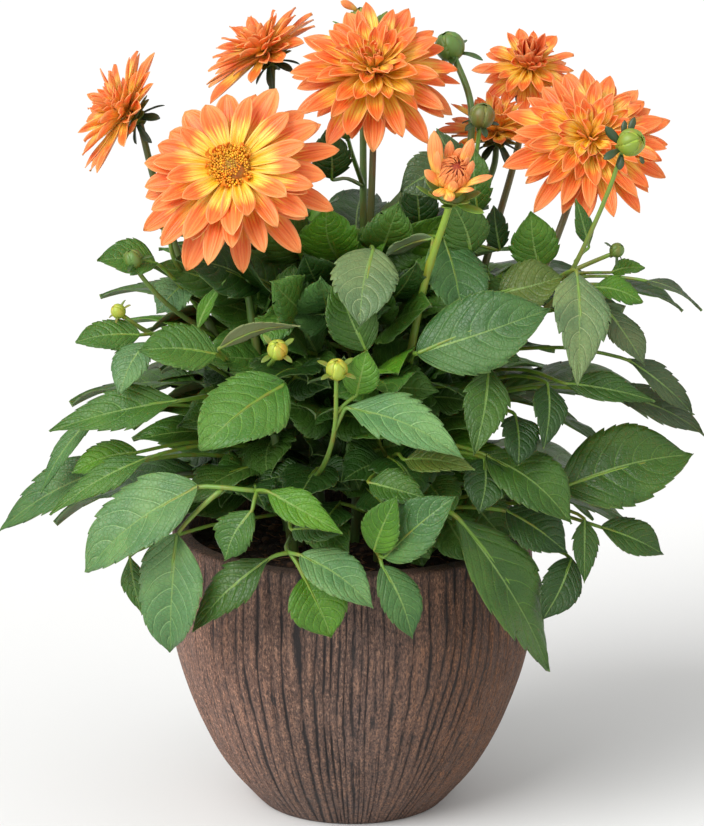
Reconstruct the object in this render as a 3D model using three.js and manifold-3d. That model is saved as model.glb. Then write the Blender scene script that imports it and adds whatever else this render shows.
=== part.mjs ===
// A bushy dahlia with orange blooms in a wood-grained planter.
// Millimetres, +Z up. Origin: centre of the flat underside of the planter. The fullest side faces -Y.
import * as THREE from 'three';
import { mergeVertices } from 'three/addons/utils/BufferGeometryUtils.js';
import Module from 'manifold-3d';

const wasm = await Module();
wasm.setup();

// ---- driving dimensions ----
const POT = {
  height: 200,
  profile: [[0, 66], [3, 69], [30, 91], [68, 110.5], [125, 127], [198, 126.5], [200, 125]],
  innerProfile: [[200, 114], [150, 117], [60, 96], [9, 62]],
  columns: 64,
  ridge: 0.9,
  holeRadius: 4.5,
  holeCircle: 40,
};
const SOIL = { top: 187, gap: 0.3, columns: 20, rings: 3, crumb: 1.6 };
const STEM = { buried: 150, sides: 5, soilRadius: 3.5, topRadius: 2.3, holeGap: 0.35 };
const LEAF = {
  thickness: 0.8, fold: 0.16, petioleWidth: 2.2, petioleThickness: 1.9,
  tinyLength: 50, bigLength: 64, heroLength: 92, lobeAt: 8, lobeRoot: 4,
};
const PETAL = { thickness: 0.85, crowd: 0.9 };
const CLEAR = 0.45; // how much a leaf is grown when it is tried against its neighbours

const COLOURS = {
  pot: [0x4e3428, 0.72],
  soil: [0x2e2018, 0.98],
  stem: [0x4f7a2c, 0.55],
  petal: [0xec6a2a, 0.5],
  disc: [0xe0a018, 0.7],
};

// ---- small helpers ----
const V = (x, y, z) => new THREE.Vector3(x, y, z);
const vec = (p) => new THREE.Vector3(p[0], p[1], p[2]);
const rad = (degrees) => degrees * Math.PI / 180;
const mix = (a, b, t) => a + (b - a) * t;

// A repeatable draw between 0 and 1 for each pair of numbers.
function draw(i, j) {
  const s = Math.sin(i * 12.9898 + j * 78.233 + 4.7) * 43758.5453;
  return s - Math.floor(s);
}

function toSolid(points, faces) {
  let volume = 0;
  for (const [a, b, c] of faces) {
    volume += points[a].dot(points[b].clone().cross(points[c]));
  }
  const flat = volume < 0 ? faces.map(([a, b, c]) => [a, c, b]) : faces;
  const vertProperties = new Float32Array(points.flatMap((p) => [p.x, p.y, p.z]));
  const triVerts = new Uint32Array(flat.flat());
  return new wasm.Manifold(new wasm.Mesh({ numProp: 3, vertProperties, triVerts }));
}

// A body through a row of rings with equal numbers of points, closed at both ends.
function loft(rings) {
  const points = rings.flat();
  const n = rings[0].length;
  const faces = [];
  for (let i = 0; i + 1 < rings.length; i += 1) {
    for (let j = 0; j < n; j += 1) {
      const a = i * n + j;
      const b = i * n + (j + 1) % n;
      faces.push([a, b, b + n], [a, b + n, a + n]);
    }
  }
  const last = (rings.length - 1) * n;
  for (let j = 1; j + 1 < n; j += 1) {
    faces.push([0, j + 1, j], [last, last + j, last + j + 1]);
  }
  return toSolid(points, faces);
}

// A round-ish rod along a row of points, with a radius for each.
function tube(path, radii, sides, grow = 0) {
  const tangents = path.map((p, i) => {
    const before = path[Math.max(i - 1, 0)];
    const after = path[Math.min(i + 1, path.length - 1)];
    return after.clone().sub(before).normalize();
  });
  let side = Math.abs(tangents[0].x) > 0.9 ? V(0, 1, 0) : V(1, 0, 0);
  const rings = path.map((p, i) => {
    side = side.clone().sub(tangents[i].clone().multiplyScalar(side.dot(tangents[i]))).normalize();
    const other = tangents[i].clone().cross(side);
    const ring = [];
    for (let j = 0; j < sides; j += 1) {
      const a = 2 * Math.PI * j / sides;
      const r = radii[i] + grow;
      ring.push(p.clone().addScaledVector(side, r * Math.cos(a)).addScaledVector(other, r * Math.sin(a)));
    }
    return ring;
  });
  return loft(rings);
}

// A sheet of even thickness: each node has a top and a bottom point, and the open edges get a rim.
function plate(nodes, triangles) {
  const points = nodes.flatMap(({ at, up, half }) => [
    at.clone().addScaledVector(up, half),
    at.clone().addScaledVector(up, -half),
  ]);
  const edges = new Set(triangles.flatMap(([a, b, c]) => [`${a},${b}`, `${b},${c}`, `${c},${a}`]));
  const faces = [];
  for (const [a, b, c] of triangles) {
    faces.push([2 * a, 2 * b, 2 * c], [2 * a + 1, 2 * c + 1, 2 * b + 1]);
    for (const [p, q] of [[a, b], [b, c], [c, a]]) {
      if (!edges.has(`${q},${p}`)) {
        faces.push([2 * q, 2 * p, 2 * p + 1], [2 * q, 2 * p + 1, 2 * q + 1]);
      }
    }
  }
  return toSolid(points, faces);
}

function smooth(points, count) {
  const curve = new THREE.CatmullRomCurve3(points, false, 'centripetal');
  return curve.getPoints(count);
}

// ---- planter ----
function profileAt(profile, z) {
  for (let i = 0; i + 1 < profile.length; i += 1) {
    const [z0, r0] = profile[i];
    const [z1, r1] = profile[i + 1];
    if ((z - z0) * (z - z1) <= 0) {
      return mix(r0, r1, (z - z0) / (z1 - z0));
    }
  }
  return profile[profile.length - 1][1];
}

function makePot() {
  const points = [];
  const faces = [];
  const rows = [];
  const addRow = (z, r, columns, relief) => {
    const start = points.length;
    for (let j = 0; j < columns; j += 1) {
      const a = 2 * Math.PI * j / columns;
      const lean = relief * 0.012 * Math.sin(z / 34 + 3 * draw(j, 3));
      const calm = 0.6 + 0.4 * Math.cos(2 * a);
      const wave = (j % 2 ? 1 : -1) * (1 - 0.55 * calm) * (0.65 + 0.7 * draw(j, 1));
      const radius = r + relief * POT.ridge * wave + relief * 0.5 * Math.sin(5 * a + z / 45);
      points.push(V(radius * Math.cos(a + lean), radius * Math.sin(a + lean), z));
    }
    rows.push([start, columns]);
  };
  POT.profile.forEach(([z, r], i) => {
    const plain = i === 0 || i === POT.profile.length - 1;
    addRow(z, r, POT.columns, plain ? 0 : 1);
  });
  POT.innerProfile.forEach(([z, r]) => addRow(z, r, POT.columns / 2, 0));
  for (let i = 0; i + 1 < rows.length; i += 1) {
    const [a0, na] = rows[i];
    const [b0, nb] = rows[i + 1];
    const step = na / nb;
    for (let j = 0; j < nb; j += 1) {
      const b = b0 + j;
      const bNext = b0 + (j + 1) % nb;
      const a = a0 + (j * step) % na;
      const aNext = a0 + ((j + 1) * step) % na;
      if (step === 2) {
        faces.push([a, a + 1, b], [a + 1, aNext, bNext], [a + 1, bNext, b]);
      } else {
        faces.push([a, aNext, bNext], [a, bNext, b]);
      }
    }
  }
  for (let j = 1; j + 1 < POT.columns; j += 1) {
    faces.push([0, j + 1, j]);
  }
  const [inner, n] = rows[rows.length - 1];
  for (let j = 1; j + 1 < n; j += 1) {
    faces.push([inner, inner + j, inner + j + 1]);
  }
  let pot = toSolid(points, faces);
  for (let k = 0; k < 4; k += 1) {
    const a = rad(45 + 90 * k);
    const at = V(POT.holeCircle * Math.cos(a), POT.holeCircle * Math.sin(a), -5);
    pot = pot.subtract(tube([at, at.clone().setZ(20)], [POT.holeRadius, POT.holeRadius], 8));
  }
  return pot;
}

// ---- soil ----
function makeSoil(stems) {
  const points = [V(0, 0, SOIL.top + 2)];
  const faces = [];
  const n = SOIL.columns;
  for (let i = 1; i <= SOIL.rings; i += 1) {
    const edge = profileAt(POT.innerProfile, SOIL.top) - 1.2;
    const r = edge * i / SOIL.rings;
    for (let j = 0; j < n; j += 1) {
      const a = 2 * Math.PI * (j + 0.5 * (i % 2)) / n;
      const lift = i === SOIL.rings ? -1.5 : SOIL.crumb * (2 * draw(i, j) - 1) + 2 * (1 - i / SOIL.rings);
      points.push(V(r * Math.cos(a), r * Math.sin(a), SOIL.top + lift));
    }
  }
  const ring = (i, j) => 1 + (i - 1) * n + (j + n) % n;
  for (let j = 0; j < n; j += 1) {
    faces.push([0, ring(1, j), ring(1, j + 1)]);
    for (let i = 1; i < SOIL.rings; i += 1) {
      const shift = i % 2 ? 1 : 0;
      faces.push([ring(i, j), ring(i + 1, j + shift), ring(i, j + 1)]);
      faces.push([ring(i + 1, j + shift), ring(i + 1, j + 1 + shift), ring(i, j + 1)]);
    }
  }
  const walls = POT.innerProfile.slice(1);
  let above = (j) => ring(SOIL.rings, j);
  const turn = 0.5 * (SOIL.rings % 2);
  for (const [z, r] of walls) {
    const start = points.length;
    for (let j = 0; j < n; j += 1) {
      const a = 2 * Math.PI * (j + turn) / n;
      const radius = (r - 1.2);
      points.push(V(radius * Math.cos(a), radius * Math.sin(a), z + SOIL.gap));
    }
    const below = (j) => start + (j + n) % n;
    for (let j = 0; j < n; j += 1) {
      faces.push([above(j), below(j), below(j + 1)], [above(j), below(j + 1), above(j + 1)]);
    }
    above = below;
  }
  const base = points.length - n;
  for (let j = 1; j + 1 < n; j += 1) {
    faces.push([base, base + j + 1, base + j]);
  }
  let soil = toSolid(points, faces);
  for (const stem of stems) {
    const [x, y] = stem.foot;
    const path = [V(x, y, STEM.buried - SOIL.gap), V(x, y, SOIL.top + 20)];
    const r = STEM.soilRadius + STEM.holeGap;
    soil = soil.subtract(tube(path, [r, r], STEM.sides));
  }
  return soil;
}

// ---- leaves ----
// Half the width of a leaf blade, 0 at both ends, widest nearer the stalk.
function outline(u) {
  return Math.pow(Math.max(Math.sin(Math.PI * Math.pow(u, 0.72)), 0), 0.85);
}

// The curved surface of a blade from its base to its tip.
function bladeSurface(leaf) {
  const base = vec(leaf.base);
  const axis = vec(leaf.tip).sub(base);
  const length = axis.length();
  const along = axis.clone().normalize();
  const normal = vec(leaf.normal).normalize();
  normal.addScaledVector(along, -normal.dot(along)).normalize();
  const side = axis.clone().cross(normal).normalize();
  return (u, v) => {
    const lift = 4 * leaf.bend * length * u * (1 - u);
    const slope = 4 * leaf.bend * (1 - 2 * u);
    const up = normal.clone().addScaledVector(along, -slope).normalize();
    const at = base.clone().addScaledVector(axis, u).addScaledVector(normal, lift);
    at.addScaledVector(side, v).addScaledVector(up, Math.abs(v) * LEAF.fold);
    return { at, up };
  };
}

// Edge points of one side, as [place along, share of the half width], and midrib places.
const EDGES = {
  hero: [[0.1, 1], [0.34, 1.08], [0.33, 0.9], [0.58, 1.1], [0.57, 0.88], [0.8, 1.18], [0.79, 0.82]],
  big: [[0.12, 1], [0.38, 1.08], [0.39, 0.88], [0.7, 1.16], [0.7, 0.83]],
  small: [[0.3, 1.06], [0.32, 0.88], [0.66, 1.14], [0.67, 0.84]],
  tiny: [[0.3, 1.06], [0.34, 0.86], [0.66, 1.12]],
  lobe: [[0.3, 1.05], [0.34, 0.86], [0.64, 1.12]],
};
const RIBS = { hero: [0.2, 0.47, 0.72], big: [0.28, 0.6], small: [0.42], tiny: [0.42], lobe: [0.42] };

// The row of points that a stalk passes, with the two short steps where side leaflets sit.
function stalkPath(leaf, root) {
  const base = vec(leaf.base);
  const back = root.clone().sub(base).normalize();
  if (leaf.lobes) {
    const low = base.clone().addScaledVector(back, LEAF.lobeAt + LEAF.lobeRoot);
    return [root, low, base.clone().addScaledVector(back, LEAF.lobeAt)];
  }
  if (leaf.via) {
    return [root, vec(leaf.via)];
  }
  if (leaf.kind === 'hero') {
    const middle = root.clone().lerp(base, 0.55);
    middle.z += 0.08 * root.distanceTo(base);
    return [root, middle];
  }
  return [root];
}

// A side leaflet as a leaf of its own, on side -1 or 1 of the stalk.
function lobeOf(leaf, s) {
  const base = vec(leaf.base);
  const axis = vec(leaf.tip).sub(base);
  const normal = vec(leaf.normal).normalize();
  const side = axis.clone().cross(normal).normalize();
  const way = axis.clone().normalize().multiplyScalar(0.5).addScaledVector(side, 0.86 * s);
  return (start) => ({
    base: start.toArray(),
    tip: start.clone().addScaledVector(way, axis.length() * leaf.lobes).toArray(),
    normal: leaf.normal,
    width: leaf.width * 0.76,
    bend: leaf.bend,
  });
}

// One closed sheet: stalk, blade with a cut edge, and side leaflets where the leaf has them.
function leafSolid(leaf, petiole, grow = 0) {
  const surface = bladeSurface(leaf);
  const half = LEAF.thickness / 2 + grow;
  const stalk = LEAF.petioleThickness / 2 + grow;
  const stalkWidth = LEAF.petioleWidth / 2 + grow;
  const nodes = [];
  const triangles = [];
  const node = (at, up, h) => nodes.push({ at, up, half: h }) - 1;
  const start = surface(0, 0);
  const side = surface(0, 1).at.sub(start.at).addScaledVector(start.up, -LEAF.fold).normalize();
  petiole.forEach((p, i) => {
    const forward = (petiole[i + 1] ?? start.at).clone().sub(p).normalize();
    const across = side.clone().addScaledVector(forward, -side.dot(forward)).normalize();
    const up = across.clone().cross(forward).normalize();
    node(p.clone().addScaledVector(across, -stalkWidth), up, stalk);
    node(p.clone().addScaledVector(across, stalkWidth), up, stalk);
  });
  const neck = nodes.length;
  for (const s of [-1, 1]) {
    node(start.at.clone().addScaledVector(side, s * stalkWidth), start.up, stalk);
  }
  for (let i = 0; i < neck; i += 2) {
    triangles.push([i, i + 1, i + 3], [i, i + 3, i + 2]);
  }
  const { kind } = leaf;
  const ribs = RIBS[kind].map((u) => node(surface(u, 0).at, surface(u, 0).up, half));
  const edgeOf = (sheet, blade, name, s) => EDGES[name].map(([u, share]) => {
    const { at, up } = sheet(u, s * (outline(u) * share * blade.width / 2 + grow));
    return node(at, up, half);
  });
  const tipOf = (sheet, blade) => {
    const { at, up } = sheet(1, 0);
    return node(at.addScaledVector(vec(blade.tip).sub(vec(blade.base)).normalize(), grow), up, half);
  };
  const tip = tipOf(surface, leaf);
  triangles.push([neck, neck + 1, ribs[0]]);
  for (const k of [0, 1]) {
    const e = edgeOf(surface, leaf, kind, k ? 1 : -1);
    const root = neck + k;
    const fans = {
      hero: [[ribs[0], root, e[0], e[1]], [ribs[1], ribs[0], e[1], e[2], e[3]],
        [ribs[2], ribs[1], e[3], e[4], e[5]], [ribs[2], e[5], e[6], tip]],
      big: [[ribs[0], root, e[0], e[1]], [ribs[1], ribs[0], e[1], e[2], e[3]], [ribs[1], e[3], e[4], tip]],
      small: [[ribs[0], root, ...e, tip]],
      tiny: [[ribs[0], root, ...e, tip]],
    }[kind];
    for (const [hub, ...rim] of fans) {
      for (let i = 0; i + 1 < rim.length; i += 1) {
        triangles.push(k ? [hub, rim[i], rim[i + 1]] : [hub, rim[i + 1], rim[i]]);
      }
    }
  }
  for (const s of leaf.lobes ? [-1, 1] : []) {
    const low = neck - 4 + (s < 0 ? 0 : 1);
    const high = low + 2;
    const lobe = lobeOf(leaf, s)(nodes[low].at.clone().lerp(nodes[high].at, 0.5));
    const sheet = bladeSurface(lobe);
    const rib = node(sheet(RIBS.lobe[0], 0).at, sheet(RIBS.lobe[0], 0).up, half);
    const far = edgeOf(sheet, lobe, 'lobe', -s);
    const near = edgeOf(sheet, lobe, 'lobe', s);
    const rim = [low, high, ...far, tipOf(sheet, lobe), ...near.reverse(), low];
    for (let i = 0; i + 1 < rim.length; i += 1) {
      triangles.push(s < 0 ? [rib, rim[i], rim[i + 1]] : [rib, rim[i + 1], rim[i]]);
    }
  }
  return plate(nodes, triangles);
}

// ---- blooms ----
function ring(length, width, rise, curl, long = false) {
  return { length, width, rise, curl, long };
}

// A frame whose third axis is the way the bloom faces.
function facing(axis, spin) {
  const z = vec(axis).normalize();
  const x = V(0, 0, 1).cross(z).normalize();
  const y = z.clone().cross(x);
  const c = Math.cos(rad(spin));
  const s = Math.sin(rad(spin));
  return {
    x: x.clone().multiplyScalar(c).addScaledVector(y, s),
    y: y.clone().multiplyScalar(c).addScaledVector(x, -s),
    z,
  };
}

// A turned body whose bands are cut into cells, with a blade drawn out of every second cell of a band.
// lines: [radius, height] rows; bands: one entry per band, null where it stays plain.
// pull: the side on which the blades stay shorter, and by what share.
function studdedSolid({ at, axis, spin, lines, bands, columns, seed, tipHeight, pull = [0, 0, 0] }) {
  const f = facing(axis, spin);
  const origin = vec(at);
  const place = (r, a, h) => origin.clone()
    .addScaledVector(f.x, r * Math.cos(a))
    .addScaledVector(f.y, r * Math.sin(a))
    .addScaledVector(f.z, h);
  const points = [];
  const faces = [];
  const last = lines.length - 1;
  for (const [r, h] of lines) {
    for (let c = 0; c < columns; c += 1) {
      points.push(place(r, 2 * Math.PI * c / columns, h));
    }
  }
  const id = (k, c) => k * columns + (c + columns) % columns;
  points.push(place(0, 0, lines[0][1]), place(0, 0, tipHeight));
  const under = points.length - 2;
  const over = points.length - 1;
  for (let c = 0; c < columns; c += 1) {
    faces.push([under, id(0, c + 1), id(0, c)], [over, id(last, c), id(last, c + 1)]);
  }
  for (let k = 0; k < last; k += 1) {
    const band = bands[k];
    for (let c = 0; c < columns; c += 1) {
      const quad = [id(k, c), id(k, c + 1), id(k + 1, c + 1), id(k + 1, c)];
      if (!band || (c + k) % 2) {
        faces.push([quad[0], quad[1], quad[2]], [quad[0], quad[2], quad[3]]);
        continue;
      }
      const a = 2 * Math.PI * (c + 0.5) / columns;
      const out = f.x.clone().multiplyScalar(Math.cos(a)).addScaledVector(f.y, Math.sin(a));
      const short = Math.max(0, out.dot(vec(pull)));
      const length = band.length * (1 - short) * (1 + 0.1 * (draw(seed + k, c) - 0.5));
      const start = rad(band.rise + 5 * (draw(seed + k, c + 50) - 0.5));
      const turn = rad(band.curl);
      let previous = quad;
      let r = (lines[k][0] + lines[k + 1][0]) / 2;
      let h = (lines[k][1] + lines[k + 1][1]) / 2;
      let done = 0;
      for (const t of band.long ? [0.3, 0.66, 1] : [0.6, 1]) {
        const angle = start + turn * (done + t) / 2;
        r += length * (t - done) * Math.cos(angle);
        h += length * (t - done) * Math.sin(angle);
        done = t;
        const lean = start + turn * t;
        const half = PETAL.thickness / 2;
        const corner = (w, up) => {
          const p = place(r - up * Math.sin(lean), a, h + up * Math.cos(lean));
          p.addScaledVector(f.x, -w * Math.sin(a)).addScaledVector(f.y, w * Math.cos(a));
          points.push(p);
          return points.length - 1;
        };
        const q = previous;
        if (t < 1) {
          const room = PETAL.crowd * r * Math.tan(2 * Math.PI / columns);
          const w = Math.min(band.width / 2 * (t < 0.5 ? 0.66 : 1), room);
          const s = [corner(-w, -half), corner(w, -half), corner(w, half), corner(-w, half)];
          for (let j = 0; j < 4; j += 1) {
            const m = (j + 1) % 4;
            faces.push([q[j], q[m], s[m]], [q[j], s[m], s[j]]);
          }
          previous = s;
        } else {
          const low = corner(0, -half);
          const high = corner(0, half);
          faces.push([q[0], q[1], low], [q[1], q[2], high], [q[1], high, low]);
          faces.push([q[2], q[3], high], [q[3], q[0], low], [q[3], low, high]);
        }
      }
    }
  }
  return toSolid(points, faces);
}

// Petals in rings, each ring half a step on from the one below it.
function bloomSolid(bloom, number) {
  const { rings, count, core } = bloom;
  const lines = [];
  for (let k = 0; k <= rings.length; k += 1) {
    const share = k / rings.length;
    const rounded = k ? Math.max(Math.cos(0.86 * share * Math.PI / 2), 0.2) : 0.96;
    const waist = core.top ? mix(1, core.top, share) : rounded;
    lines.push([core.radius * waist, core.height * Math.sin(share * Math.PI / 2)]);
  }
  return studdedSolid({
    ...bloom, lines, bands: rings, columns: 2 * count, seed: number * 100,
    tipHeight: core.height + (core.top ? 0 : 0.6),
  });
}

// The button of small florets in an open bloom, resting on its flat core.
function discSolid(bloom) {
  const h = bloom.core.height + DISC.gap;
  const r = bloom.core.radius * bloom.core.top - 0.4;
  const lines = DISC.shape.map(([share, rise]) => [share * r, h + rise]);
  return studdedSolid({
    ...bloom, lines, bands: DISC.florets, columns: DISC.columns, seed: 900, tipHeight: h + DISC.height,
  });
}

// The green cup under a bloom, with its leafy bracts.
function cupSolid(at, axis, radius, bract) {
  const lines = [[radius * 0.34, -radius * 0.95], [radius, -radius * 0.3]];
  return studdedSolid({ at, axis, spin: 10, lines, bands: [bract], columns: 10, seed: 7, tipHeight: 0 });
}

// A closed round bud with pointed sepals round its foot.
function budSolid(bud) {
  const r = bud.radius;
  const large = r > 7;
  const shape = large
    ? [[0.35, -0.95], [0.88, -0.5], [1, 0.1], [0.75, 0.68]]
    : [[0.4, -0.9], [1, 0.1]];
  const sepal = ring(1.25 * r, 0.62 * r, 8, 24);
  return studdedSolid({
    at: bud.at, axis: bud.axis, spin: 20, lines: shape.map(([q, h]) => [q * r, h * r]),
    bands: [sepal, null, null], columns: large ? 8 : 6, seed: 31, tipHeight: r,
  });
}

// ---- the plan of the plant ----
const OPEN = (s) => [
  ring(60 * s, 22 * s, -6, -14, true), ring(57 * s, 22 * s, 7, -12, true),
  ring(49 * s, 20 * s, 18, -8), ring(38 * s, 17 * s, 31, -6),
];
const FULL = (s) => [
  ring(60 * s, 26 * s, -12, -14, true), ring(57 * s, 26 * s, 5, -12), ring(48 * s, 24 * s, 23, -8),
  ring(36 * s, 19 * s, 43, -4), ring(22 * s, 13 * s, 64, 12),
];
const FLAT = (s) => [
  ring(60 * s, 25 * s, -2, -10, true), ring(57 * s, 25 * s, 8, -10), ring(49 * s, 23 * s, 19, -8),
  ring(39 * s, 19 * s, 33, -6),
];
const POMPON = (s) => [
  ring(60 * s, 30 * s, -14, -8), ring(54 * s, 28 * s, 10, -10), ring(38 * s, 22 * s, 38, -2),
];
const FUNNEL = (s, rise) => [
  ring(60 * s, 24 * s, rise, -8), ring(54 * s, 22 * s, rise + 18, -8), ring(42 * s, 19 * s, rise + 39, -4),
];
const core = (radius, height, top = 0) => ({ radius, height, top });
const DISC = {
  gap: 0.3, height: 6.6, columns: 12,
  shape: [[1, 0], [1.02, 2], [0.82, 4.4], [0.42, 6]],
  florets: [ring(3.4, 2.4, 50, 20), ring(3.8, 2.4, 62, 14), ring(3.6, 2.2, 80, 6)],
};

const BLOOMS = {
  bloom_left: {
    stem: 'stem_left', at: [-149, -14, 493], axis: [-0.85, -0.16, 0.5], spin: 5, count: 9,
    rings: FUNNEL(0.7, 7), core: core(8, 9), pull: [0.1, -0.35, 0.2],
  },
  bloom_front: {
    stem: 'stem_front_left', at: [-79, -64, 464], axis: [-0.12, -0.86, 0.5], spin: 8, count: 11,
    rings: OPEN(0.98), core: core(12.5, 7, 0.84), pull: [-0.14, 0, 0.3],
  },
  bloom_back_left: {
    stem: 'stem_back_left', at: [-58, 58, 522], axis: [-0.5, -0.08, 0.86], spin: 0, count: 9,
    rings: FUNNEL(0.72, 0), core: core(8, 9), pull: [0.25, -0.35, 0.1],
  },
  bloom_top: {
    stem: 'stem_centre', at: [15, 12, 514], axis: [-0.03, -0.64, 0.77], spin: 12, count: 10,
    rings: FULL(0.88), core: core(10, 14), pull: [0, 0, -0.14],
  },
  bloom_back_right: {
    stem: 'stem_back_right', at: [125, 97, 505], axis: [0.05, -0.6, 0.8], spin: 20, count: 8,
    rings: POMPON(0.52), core: core(8, 10),
  },
  bloom_back: {
    stem: 'stem_back', at: [101, 50, 467], axis: [-0.02, -0.14, 0.99], spin: 0, count: 8,
    rings: FUNNEL(0.58, 8), core: core(7.5, 9),
  },
  bloom_right: {
    stem: 'stem_right', at: [162, -2, 472], axis: [0.1, -0.82, 0.56], spin: 3, count: 10,
    rings: FLAT(0.84), core: core(10, 9), pull: [0, 0, 0.14],
  },
  bloom_opening: {
    stem: 'stem_front_right', at: [66, -92, 454], axis: [0.12, -0.5, 0.86], spin: 30, count: 6,
    rings: [ring(20, 10, 12, 30), ring(18, 9, 44, 36)], core: core(10.5, 17), green: true,
  },
  bloom_top_bud: {
    stem: 'stem_top_bud', at: [8, 84, 541], axis: [-0.2, -0.1, 0.97], spin: 0, count: 6,
    rings: [ring(15, 8, 44, 40), ring(13, 7, 62, 30)], core: core(7.5, 12), green: true,
  },
};

// Each stem: where it stands in the soil, the points it passes, and its side branches with buds.
const STEMS = {
  stem_left: {
    foot: [-36, -12],
    path: [[-62, -20, 270], [-91, -25, 335], [-116, -22, 390], [-134, -16, 445]],
    branches: [
      { from: 340, path: [[-128, -58, 374], [-145, -68, 398]], bud: { at: [-147, -70, 405], radius: 6, axis: [-0.3, -0.2, 0.9] } },
      { from: 372, path: [[-121, -48, 402]], bud: { at: [-123, -58, 421], radius: 5, axis: [0.1, -0.3, 0.9] } },
      { from: 318, path: [[-140, -70, 356]], bud: { at: [-157, -78, 371], radius: 4.5, axis: [-0.6, -0.2, 0.7] } },
    ],
  },
  stem_front_left: {
    foot: [-40, -48],
    path: [[-52, -48, 270], [-67, -45, 350], [-73, -44, 405], [-70, -46, 438]],
    branches: [
      {
        from: 236, path: [[-22, -104, 266], [-12, -128, 299]],
        bud: { at: [-10, -146, 347], radius: 6.5, axis: [0.05, -0.45, 0.85] },
      },
      { from: 322, path: [[-54, -104, 341]], bud: { at: [-49, -132, 357], radius: 6.2, axis: [0, -0.6, 0.7] } },
    ],
  },
  stem_back_left: {
    foot: [-22, 30],
    path: [[-28, 34, 280], [-42, 44, 390], [-54, 54, 460], [-56, 58, 496]],
    branches: [],
  },
  stem_centre: {
    foot: [2, -6],
    path: [[6, -4, 280], [11, 2, 380], [14, 8, 450], [15, 17, 490]],
    branches: [],
  },
  stem_top_bud: {
    foot: [8, 32],
    path: [[8, 46, 300], [8, 62, 420], [8, 80, 505], [9, 84, 524]],
    branches: [{ from: 430, path: [[0, 36, 458]], bud: { at: [-4, 16, 479], radius: 6.5, axis: [-0.1, -0.4, 0.9] } }],
  },
  stem_bud: {
    foot: [34, 10],
    path: [[46, 14, 290], [64, 18, 380], [80, 12, 455], [82, 22, 495]],
    bud: { at: [68, 50, 531], radius: 9.5, axis: [-0.35, -0.2, 0.9] },
    branches: [{ from: 405, path: [[84, 3, 455]], bud: { at: [89, -3, 491], radius: 8, axis: [0.2, -0.3, 0.9] } }],
  },
  stem_back: {
    foot: [30, 46],
    path: [[46, 56, 290], [78, 58, 385], [94, 54, 430], [100, 52, 448]],
    branches: [],
  },
  stem_back_right: {
    foot: [52, 30],
    path: [[70, 46, 290], [100, 74, 390], [118, 97, 450], [123, 101, 482]],
    branches: [],
  },
  stem_right: {
    foot: [46, -14],
    path: [[72, -16, 270], [108, -16, 338], [134, -10, 390], [155, 3, 445]],
    branches: [
      { from: 344, path: [[136, -40, 368], [150, -51, 395], [172, -62, 450]], bud: { at: [186, -68, 484], radius: 8.5, axis: [0.72, -0.6, 0.35] } },
      { from: 366, path: [[150, -30, 388]], bud: { at: [180, -40, 405], radius: 4.5, axis: [0.6, -0.2, 0.6] } },
    ],
  },
  stem_front_right: {
    foot: [18, -48],
    path: [[26, -52, 260], [38, -62, 330], [50, -77, 395], [63, -89, 440]],
    branches: [],
  },
  shoot_back_left: { foot: [-46, 26], path: [[-62, 44, 250], [-74, 58, 310]], branches: [] },
  shoot_back_right: { foot: [14, 62], path: [[18, 84, 250], [22, 96, 310]], branches: [] },
};

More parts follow.
